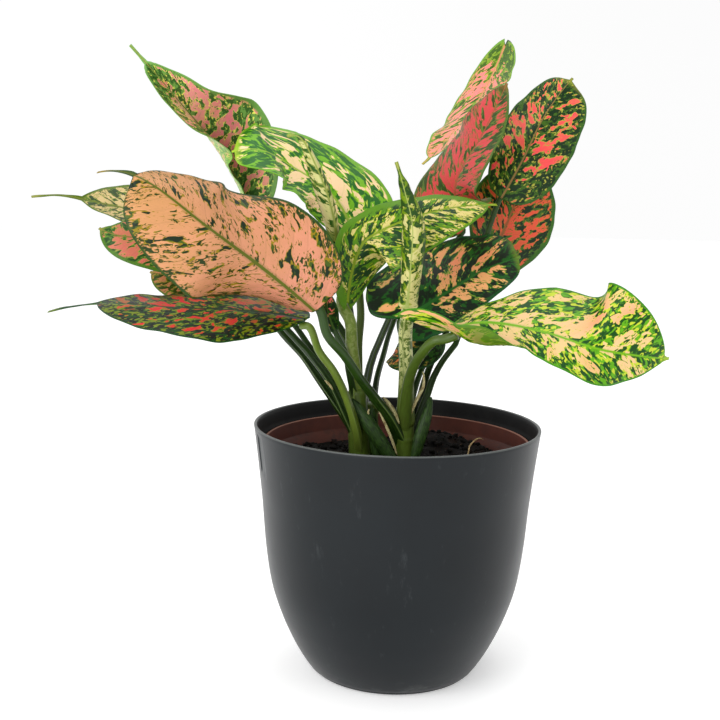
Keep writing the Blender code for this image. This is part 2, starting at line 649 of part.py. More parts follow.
def main():
    clear_scene()
    parts = new_collection("potted_red_chinese_evergreen")
    cutters = new_collection("cutters", hidden=True)
    make_cover_pot(parts)
    make_nursery_pot(parts, cutters)
    make_soil(parts, cutters)
    for name in STEMS:
        make_shoot(name, parts)
    for name in LEAVES:
        make_leaf(name, parts)


main()
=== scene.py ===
"""The looks of a potted red Chinese evergreen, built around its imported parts.

Leaves, stalks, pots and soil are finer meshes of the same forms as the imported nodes, which they
replace. The tables of leaves, petioles and stems repeat the source's. Meshes are laid out in mm,
and mesh_object makes metres of them. Node trees, the camera and the studio are in metres. Angles
are in degrees, and colours are sRGB of 0-255.
"""

import math

import bpy
import numpy as np
from mathutils import Matrix, Vector, noise


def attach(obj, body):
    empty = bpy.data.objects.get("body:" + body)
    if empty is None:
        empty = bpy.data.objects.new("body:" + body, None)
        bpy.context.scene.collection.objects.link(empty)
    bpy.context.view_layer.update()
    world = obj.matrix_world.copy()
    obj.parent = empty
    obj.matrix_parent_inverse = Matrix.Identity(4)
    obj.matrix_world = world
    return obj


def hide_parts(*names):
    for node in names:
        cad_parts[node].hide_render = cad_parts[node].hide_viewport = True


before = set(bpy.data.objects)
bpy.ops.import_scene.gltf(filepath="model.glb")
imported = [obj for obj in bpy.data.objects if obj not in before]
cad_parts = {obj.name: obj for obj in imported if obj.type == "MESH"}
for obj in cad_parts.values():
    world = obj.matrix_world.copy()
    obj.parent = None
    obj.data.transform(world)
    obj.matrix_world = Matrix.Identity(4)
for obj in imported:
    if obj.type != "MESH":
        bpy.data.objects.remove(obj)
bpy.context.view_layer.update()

MM = 0.001
SEED = 11

# Camera: measured from the photograph
CAMERA_PLACE = (-0.0189, -0.552, 0.2385)
CAMERA_PITCH = 8.75
CAMERA_ROLL = 1.21
CAMERA_LENS = 57.4

# Studio. WORLD_*: the sky's strength, and how it changes behind and to the right. HORIZON_*:
# strength that a low sky has at least, and the height where that ends. LAMPS: name, place, size,
# watts
WORLD_STRENGTH = 0.76
WORLD_BEHIND = 0.24
WORLD_RIGHT = -0.12
HORIZON_WHITE = 0.98
HORIZON_TOP = 0.35
FLOOR_GLOW = 0.3
FLOOR_DROP = 0.2
FLOOR_REACH = 5000
LAMPS = (
    ("key", (-0.9, -1.1, 1.5), (1.0, 0.8), 12),
    ("fill", (1.2, -0.9, 1.0), (0.9, 0.9), 4),
    ("low", (-0.8, -1.3, 0.35), (0.9, 0.6), 9),
    ("top", (0.1, 0.3, 1.9), (1.2, 1.2), 8),
)
LAMP_AIM = (0, 0, 0.15)

# Cover pot: outer profile as (radius, height), wall and floor. COVER_STEP and the lip's constant:
# heights of the step inside its rim and of the lip's painted highlight
COVER_PROFILE = (
    (40.5, 0), (45.5, 7), (50.5, 16), (55.8, 28), (60.6, 43), (63.6, 62), (65.9, 88), (70, 122.5))
COVER_WALL = 2.2
COVER_FLOOR = 3.0
COVER_STEP = 112.0
COVER_LIP_HIGHLIGHT = 121.7
COVER_ROWS, COVER_SIDES = 60, 180

# The cover pot's moulded strip: STRIP_ANGLE is counted round from +X, STRIP_EDGE is a share, and
# STRIP_TURN is in radians, over which finer columns are laid
STRIP_ANGLE = 199.5
STRIP_WIDTH = 8.0
STRIP_EDGE = 0.12
STRIP_MIDDLE = 111.0
STRIP_LENGTH = 18.0
STRIP_DEPTH = 0.45
STRIP_TURN, STRIP_COLUMNS = 0.06, 49

# Nursery pot
NURSERY_HEIGHT = 114.5
NURSERY_RIM_RADIUS = 65.1
NURSERY_BAND = 9.0
NURSERY_STEP = 1.6
NURSERY_BASE_RADIUS = 39.3
NURSERY_WALL = 1.2
NURSERY_BOTTOM = 3.3
NURSERY_FLOOR = 1.8

# Soil. SOIL_HEAPS: x, y, width, height. SOIL_FRACTAL: as noise.fractal takes it. SOIL_CLODS:
# offset, size and height of the finer bumps. CRUMB_SIZE, CRUMB_REACH: the least, and what a random
# number adds to it. CRUMB_REACH, CRUMB_FLAT, CRUMB_SUNK, CRUMB_CLEAR: shares of a crumb's size
SOIL_TOP = 101.0
SOIL_BOTTOM = 5.4
SOIL_RADIUS = 61.2
SOIL_FOOT = 38.0
SOIL_MOUND = 2.0
SOIL_BUMP = 1.4
SOIL_CLUMP = 14.0
SOIL_HEAPS = ((22, 36, 20, 8.0), (-44, 16, 13, 5.0), (46, 8, 12, 3.5))
SOIL_FRACTAL = (0.8, 2.1, 3)
SOIL_CLODS = ((9, 3.4, 1.1), (30, 1.5, 0.5))
SOIL_RINGS, SOIL_SIDES, SOIL_BUNCHING = 46, 130, 0.85
CRUMBS = 1100
CRUMB_INSET = 3.5
CRUMB_SIZE = (0.35, 1.9)
CRUMB_REACH = (0.55, 0.8)
CRUMB_FLAT = 0.75
CRUMB_SUNK = 0.2
CRUMB_CLEAR = 1.3
ROOT_THREAD = ((34, 4, 103), (36, 6, 107), (37, 9, 110), (41, 12, 113), (44, 14, 112))
ROOT_RADIUS = 0.4

# Blade meshes. *_BUNCHING: how much closer the rows and columns lie at the ends and at the margins.
# LEAF_THICK, LEAF_EDGE: thickness inside and at the margin, with EDGE_FADE between. KEEL_*, RIB_*:
# the midrib below and its groove above, and how much of them is gone at the tip. VEIN_*: grooves of
# the side veins, which fade out near the margin and the midrib. WAVE*: the margin's, for a half
# width of WAVE_SIZE, with WAVE_SHIFT turns from leaf to leaf
LEAF_ROWS = (40, 96)
ROWS_PER_MM = 0.8
ROW_BUNCHING = 0.6
HALF_COLUMNS = (8, 24)
COLUMNS_PER_MM = 0.8
COLUMN_BUNCHING = 0.12
LEAF_THICK = 0.5
LEAF_EDGE = 0.22
EDGE_FADE = 2.5
KEEL_HEIGHT, KEEL_WIDTH, KEEL_TAPER = 0.9, 1.3, 0.8
RIB_DEPTH, RIB_WIDTH, RIB_TAPER = 0.45, 1.1, 0.7
VEIN_SPACE = 6.5
VEIN_DEPTH = 0.28
VEIN_FADE = (6, 3)
WAVES = 3.2
WAVE_HEIGHT = 0.7
WAVE_SIZE = 30
WAVE_SHIFT = 0.37

# Blade outlines. BLADE_THICKNESS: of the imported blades. BLADE_START, BLADE_END: least half width at
# the base and at the tip. DRIP_POWER: exponent of the drip tail's outline. NARROW: half width below
# which a blade flattens out. LEAST_CURL: degrees added so that none is zero. The others are shares
# of the length or of the half width
BLADE_THICKNESS = 0.8
BLADE_START = 2.0
START_FADE = 0.1
BLADE_END = 0.7
DRIP_POWER = 0.7
NARROW = 4.0
LEAST_CURL = 0.01
LOBE_END = 0.3
LOBE_POWER = 1.5
HEART_PEAK = 0.625
FURL_START = 0.12
FURL_END = 0.32
FURL_FADE = 0.14
SLOPE_REACH = 0.001

# Blade colours. UNDER_*: the under side's green, and its share at the base and beyond. LEAF_HAZE is
# taken off. SPOT_SIZE: scale of the skins' spots. STRETCH, ROUGHNESS: scales of their grain and
# rough. GROUND_DEPTH: gain of the darkest green. TAIL_YELLOW: usual share of fringe on the drip
# tail
UNDER_GREEN = (104, 140, 62)
UNDER_MIX = (0.45, 0.45)
LEAF_SATURATION = 1.12
LEAF_HAZE = 0.014
SPOT_SIZE = 0.85
STRETCH = 0.6
ROUGHNESS = 3.0
GROUND_DEPTH = 0.75
TAIL_YELLOW = 0.5
LEAF_ROUGHNESS = 0.4
LEAF_SPECULAR = 0.22

# Stems and petioles. PETIOLE_BUNCHING: how much closer the rows lie towards the blade.
# PETIOLE_RUN_UP, PETIOLE_KEEL: mm before and beyond the blade's base. PETIOLE_TIP, STEM_END: shares
# of the radius at the last rings. GROOVE_DEPTH, WING_HEIGHT: share of the radius, and what is added
# to it in the lower WING_SHARE of a petiole, with WING_FADE mm between. The other GROOVE_*, WING_*:
# in radians round the petiole. SCAR_*: the rings that old leaves left on a stem. SHEATH: mm over
# which a petiole's swollen root thins out. STEM_FOOT: mm that a stem reaches below SOIL_TOP, under
# the mound. STEM_TINT: pale, marbled, share of the length. PETIOLE_TINTS: pale, marbled
STALK_SIDES = 20
STEM_ROWS = 40
PETIOLE_ROWS = 44
PETIOLE_BUNCHING = 1.5
PETIOLE_RUN_UP = 3.0
PETIOLE_KEEL = 2.0
PETIOLE_TIP = 0.7
GROOVE_DEPTH, GROOVE_WIDTH = (0.10, 0.34), 0.5
WING_HEIGHT, WING_TURN, WING_WIDTH = (0.02, 0.16), 0.95, 0.22
WING_SHARE, WING_FADE = 0.5, 14
SCAR_SPACE, SCAR_START, SCAR_WIDTH, SCAR_HEIGHT = 11, 5, 0.7, 0.06
SHEATH = 18.0
STEM_FOOT = 0.01
STEM_END = (0.97, 0.85, 0.45)
STEM_TINT = (0.15, 0.0, 0.5)
PETIOLE_TINTS = {
    "leaf_lower_left": (0.3, 0.0),
    "leaf_centre_front": (0.35, 0.15),
    "leaf_spike": (0.2, 0.75),
    "leaf_centre_broad": (0.15, 0.0),
    "leaf_lower_right": (0.12, 0.0),
}
PETIOLE_SLIM = {
    "leaf_lower_left": 0.75, "leaf_front_salmon": 0.9, "leaf_spike": 1.2, "leaf_lower_right": 0.9}

# Old sheaths: the middle line, the half width, and 1 for dry or 0 for green
SHEATH_THICK = 0.35
SHEATH_CUP = 0.45
SHEATHS = (
    (((0.4, -15, 125.3), (-2.2, -15.5, 131.1), (-5.1, -15.5, 135.4), (-7.6, -15, 138.3)), 1.1, 0.7),
    (((4.7, -14, 127), (6.9, -14, 132.9), (9.2, -13.5, 138.3), (11.6, -13, 143.7),
      (11.2, -12, 150.4)), 0.8, 1.0),
    (((-13.4, -13, 121.2), (-14.5, -13.5, 127.5), (-14.1, -13, 131.9)), 0.8, 1.0),
    (((-0.2, -16.4, 110.4), (-2.8, -17.4, 117.7), (-5.9, -17.6, 124.9), (-9.4, -17.4, 131.7)),
     0.7, 0.8),
    (((-31.5, -12, 140.6), (-33.5, -13, 143.5), (-35.4, -14, 145.4)), 0.6, 1.0),
    (((0.9, -15, 103), (-9.5, -15.5, 118), (-17.4, -14, 129.4), (-22.8, -11, 136.1)), 3.6, 0.0),
    (((-8.2, -11, 103), (-11.5, -11.5, 119), (-12.6, -9, 131.7)), 2.8, 0.0),
    (((7.1, -15, 103), (10.7, -15.5, 119), (13.8, -13, 129.4), (15.4, -9, 137.7)), 3.0, 0.0),
)

# Stems: (foot x, foot y), (top x, top y, top z), radius at the foot and at the top
STEMS = {
    "shoot_left": ((-18, -5), (-20, -6, 141), 5.2, 4.6),
    "shoot_back": ((-13, 9), (-13, 9, 131), 4.2, 3.6),
    "shoot_right": ((4, -8), (3, -10, 134), 5.2, 4.2),
}

# Petioles: shoot, height of the root on its stem, the points it passes, radius at the root and at
# the blade, and how far its end lies below the blade's upper side
PETIOLES = {
    "leaf_centre_front": ("shoot_left", 132, ((-23, -10, 162), (-24, -13, 174)), 4.2, 2.6, 1.65),
    "leaf_centre_broad": ("shoot_left", 124, ((-20, 0, 146), (-20, 5, 160), (-19, 7, 175),
        (-21, 4, 195)), 3.6, 1.8, 1.6),
    "leaf_lower_left": ("shoot_left", 108, ((-20, -14, 122), (-25, -17, 138), (-31, -21, 151),
        (-38, -24, 161)), 3.8, 2.4, 2),
    "leaf_left_coral": ("shoot_left", 114, ((-25, -6, 127), (-33, -6, 143), (-43, -4, 156),
        (-53, 0, 166), (-67, 3, 180)), 3.2, 1.6, 0.8),
    "leaf_left_slender": ("shoot_left", 119, ((-22, 1, 120), (-30, 2, 131), (-39, 4, 143),
        (-47, 6, 154), (-57, 9, 164), (-76, 12, 188)), 3.2, 1.6, 1.2),
    "leaf_upper_left": ("shoot_left", 128, ((-22, 6, 150), (-25, 11, 160), (-33, 17, 172),
        (-42, 24, 186)), 3.2, 1.8, 0.75),
    "leaf_left_inner": ("shoot_left", 122, ((-26, -2, 133), (-33, 0, 144), (-44, 6, 159),
        (-54, 13, 171)), 2.6, 1.4, 0.85),
    "leaf_young_hooked": ("shoot_left", 136, ((-21, -2, 149), (-22, -3, 161), (-24, -5, 178),
        (-28, -10, 197)), 2.8, 1.4, 2),
    "leaf_small_left": ("shoot_left", 130, ((-24, -12, 149), (-26, -14, 159)), 2.2, 1.2, 0.95),
    "leaf_top_right": ("shoot_back", 120, ((-17, 16, 134), (-15, 20, 140), (-13, 26, 149),
        (-10, 32, 156), (-5, 41, 167), (3, 52, 183), (22, 67, 226), (45, 82, 285)), 3.0, 1.6, 1.15),
    "leaf_upper_inner": ("shoot_back", 114, ((-11, 13, 136), (-10, 16, 143), (-7, 19, 154),
        (-4, 22, 165), (5, 28, 186)), 2.6, 1.3, 1.5),
    "leaf_front_salmon": ("shoot_right", 112, ((-4, -15, 128), (-11, -19, 138), (-19, -25, 149),
        (-26, -30, 160), (-34, -34, 170)), 4.0, 2.3, 0.7),
    "leaf_spike": ("shoot_right", 124, ((3, -15, 154), (2, -20, 169)), 4.0, 2.6, 2),
    "leaf_lower_right": ("shoot_right", 118, ((4, -19, 145), (6, -26, 155), (9, -33, 162),
        (14, -40, 169)), 4.4, 2.5, 1),
    "leaf_centre_dark": ("shoot_right", 122, ((4, -6, 143), (3, -8, 160)), 3.0, 1.8, 1.8),
    "leaf_upper_right": ("shoot_right", 108, ((12, -2, 131), (15, 1, 139), (17, 5, 144),
        (21, 9, 151), (25, 13, 156), (29, 16, 161), (36, 24, 187), (42, 27, 209)), 3.6, 1.4, 1.15),
    "leaf_right_behind": ("shoot_right", 114, ((10, 2, 131), (13, 7, 142), (16, 11, 150),
        (22, 17, 162)), 3.0, 1.4, 1.2),
    "leaf_small_drooping": ("shoot_right", 118, ((7, -2, 135), (10, 3, 145), (14, 9, 153)),
        2.4, 1.3, 1.3),
}

# Leaf blades. midrib: points from the base to the tip of the drip tail. facing: where the upper
# side looks at the base and at the tip, as (turned right from the front, raised). half: widest half
# width. fold: how far each half rises from the midrib. opening: how that changes towards the tip.
# curl: how far each half bends over its width. Pairs are (left half, right half), seen with the tip
# upwards. shape: shares of the length where the blade is widest and where its tail begins, then
# exponents of the outline at the base and at the tip. lobe: how far each half reaches back at the
# base. tail: half width of the drip tail. heart: share of the half width that a heart-shaped base
# starts with. furl: curl added to each half at the base, with furl_fold added to its fold and
# furl_width to its width. rolled: the blade wraps its petiole. colour: the end of its slot's name.
LEAVES = {
    "leaf_upper_left": dict(
        colour="coral", midrib=((-74, 34, 220), (-90, 36, 250), (-110, 15, 277), (-131, 8, 301)),
        facing=((22, 48), (-19, 18)), half=(24, 31), fold=(57, 42), opening=(-2, 24), curl=(11, 9),
        shape=(0.4, 0.9, 0.5, 0.6), lobe=(2, 2), tail=1.0),
    "leaf_front_salmon": dict(
        colour="salmon",
        midrib=((-40, -39, 181), (-62, -53, 201), (-85, -68, 220), (-112, -68, 239),
                (-132, -59, 241)),
        facing=((-46, 14), (-16, 59)), half=(30, 32), fold=(-9, -12), opening=(-2, -4),
        curl=(-27, -31), shape=(0.28, 0.84, 0.24, 0.25), lobe=(0, 0), tail=1.2),
    "leaf_left_slender": dict(
        colour="cream",
        midrib=((-99, 17, 210), (-125, 20, 221), (-154, 11, 228), (-166, 7, 230), (-178, 3, 229)),
        facing=((-12, 53), (-11, 50)), half=(20, 18), fold=(14, 4), opening=(2, -2), curl=(0, 0),
        shape=(0.4, 0.72, 0.5, 0.7), lobe=(2, 2), tail=1.2),
    "leaf_left_coral": dict(
        colour="coral", midrib=((-87, 4, 194), (-110, -5, 209), (-133, -11, 212), (-144, -5, 215)),
        facing=((-1, 40), (-10, 26)), half=(17, 18), fold=(7, -5), opening=(0, -4), curl=(-19, -22),
        shape=(0.51, 0.98, 0.5, 0.8), lobe=(2, 2), tail=0.6),
    "leaf_left_inner": dict(
        colour="pink", midrib=((-69, 22, 182), (-97, 17, 190), (-116, 13, 192), (-124, 17, 193)),
        facing=((0, 40), (-10, 24)), half=(16, 15), fold=(7, 5), opening=(1, 0), curl=(-21, -15),
        shape=(0.56, 0.98, 0.5, 0.7), lobe=(2, 2), tail=0.6),
    "leaf_lower_left": dict(
        colour="red",
        midrib=((-45, -30, 177), (-68, -22, 179), (-103, -22, 180), (-141, -21, 181),
                (-166, -16, 176)),
        facing=((11, 65), (2, 71)), half=(28, 24), fold=(1, -8), opening=(7, -5), curl=(-10, 0),
        shape=(0.32, 0.79, 0.55, 0.5), lobe=(2, 2), tail=1.2),
    "leaf_small_left": dict(
        colour="red", midrib=((-31, -16, 170), (-34, -20, 178), (-35, -25, 185), (-37, -29, 191)),
        facing=((10, 10), (10, 10)), half=(6, 5), fold=(30, 30), opening=(0, 0), curl=(0, 0),
        shape=(0.45, 0.95, 0.5, 0.8), lobe=(1, 1), tail=0.8),
    "leaf_centre_broad": dict(
        colour="lime",
        midrib=((-23, -6, 213), (-34, 4, 233), (-55, 1, 247), (-67, -6, 253), (-81, -7, 252)),
        facing=((6, 58), (-20, 37)), half=(24, 34), fold=(18, 1), opening=(-11, -11),
        curl=(12, -20), shape=(0.4, 0.98, 0.35, 0.25), lobe=(1, 1), tail=0.6),
    "leaf_centre_front": dict(
        colour="lime",
        midrib=((-25, -16, 183), (-22, -22, 203), (-16, -24, 214), (12, -18, 226), (44, -7, 230)),
        facing=((34, 25), (21, 54)), half=(13, 20), fold=(1, 4), opening=(6, 4), curl=(-20, -21),
        shape=(0.41, 0.95, 0.53, 0.56), lobe=(4, 4), tail=1.0),
    "leaf_centre_dark": dict(
        colour="dark", midrib=((3, -10, 176), (26, 0, 190), (40, 6, 198), (58, 7, 205)),
        facing=((-8, 8), (-19, 29)), half=(30, 16), fold=(-7, -1), opening=(-5, -1),
        curl=(-16, -13), shape=(0.31, 0.98, 0.25, 0.25), lobe=(13, 8), tail=1.2, heart=(0.65, 0.5)),
    "leaf_top_right": dict(
        colour="pink", midrib=((54.3, 77.7, 312.2), (43, 72, 287), (28, 56, 267), (11, 48, 249)),
        facing=((-46, 14), (-47, 11)), half=(26, 19), fold=(20, -1), opening=(7, -1), curl=(0, -13),
        shape=(0.39, 0.94, 0.44, 0.46), lobe=(3, 4), tail=1.2),
    "leaf_upper_inner": dict(
        colour="pink", midrib=((32, 25, 218), (26, 16, 239), (38, 10, 264), (48, 7, 287)),
        facing=((-15, 54), (-17, 34)), half=(26, 21), fold=(-13, 19), opening=(1, 10),
        curl=(-24, -2), shape=(0.34, 0.98, 0.43, 0.57), lobe=(1, 1), tail=1.2),
    "leaf_upper_right": dict(
        colour="red", midrib=((50, 26, 233), (60, 31, 251), (71, 35, 274), (85, 40, 293)),
        facing=((8, 20), (3, 29)), half=(18, 23), fold=(-8, -6), opening=(-11, -4), curl=(-20, -18),
        shape=(0.48, 0.97, 0.36, 0.25), lobe=(0, 0), tail=0.8),
    "leaf_right_behind": dict(
        colour="coral", midrib=((43, 32, 198), (53, 40, 215), (62, 46, 237), (70, 50, 258)),
        facing=((20, 12), (10, 20)), half=(23, 26), fold=(8, -2), opening=(2, 1), curl=(-10, -16),
        shape=(0.47, 0.96, 0.52, 0.83), lobe=(2, 2), tail=1.2),
    "leaf_lower_right": dict(
        colour="cream",
        midrib=((21, -42, 175), (37, -45, 179), (63, -46, 175), (85, -53, 169), (107, -47, 165),
                (121, -38, 163)),
        facing=((13, 84), (38, -8)), half=(33, 17), fold=(5, 0), opening=(8, -10), curl=(-6, -10),
        shape=(0.56, 0.96, 0.56, 0.69), lobe=(2, 20), tail=1.4, furl=(0, 155), furl_fold=(0, -55),
        furl_width=(0, 21)),
    "leaf_small_drooping": dict(
        colour="dark", midrib=((20, 12, 164), (12, 6, 161), (2, 3, 156), (-6, 7, 152)),
        facing=((-5, 37), (-8, 41)), half=(12, 11), fold=(3, -3), opening=(3, -2), curl=(-8, -17),
        shape=(0.43, 0.97, 0.5, 0.6), lobe=(2, 2), tail=1.2),
    "leaf_spike": dict(
        colour="marbled",
        midrib=((2, -34, 183), (3, -40, 203), (3, -44, 221), (-1, -47, 236), (-5, -48, 248)),
        facing=((170, 0), (170, 0)), half=(9, 10), fold=(5, 5), opening=(0, 0), curl=(100, 100),
        shape=(0.45, 0.92, 0.5, 0.9), lobe=(0, 0), tail=0.8, heart=(0.8, 0.8), rolled=True),
    "leaf_young_hooked": dict(
        colour="marbled",
        midrib=((-31, -17, 212), (-35, -22, 231), (-42, -24, 248), (-48, -24, 258),
                (-54, -21, 259)),
        facing=((200, 0), (200, 0)), half=(10, 10), fold=(20, 20), opening=(0, 0), curl=(120, 120),
        shape=(0.4, 0.92, 0.4, 0.9), lobe=(0, 0), tail=0.8, heart=(0.7, 0.7), rolled=True),
}
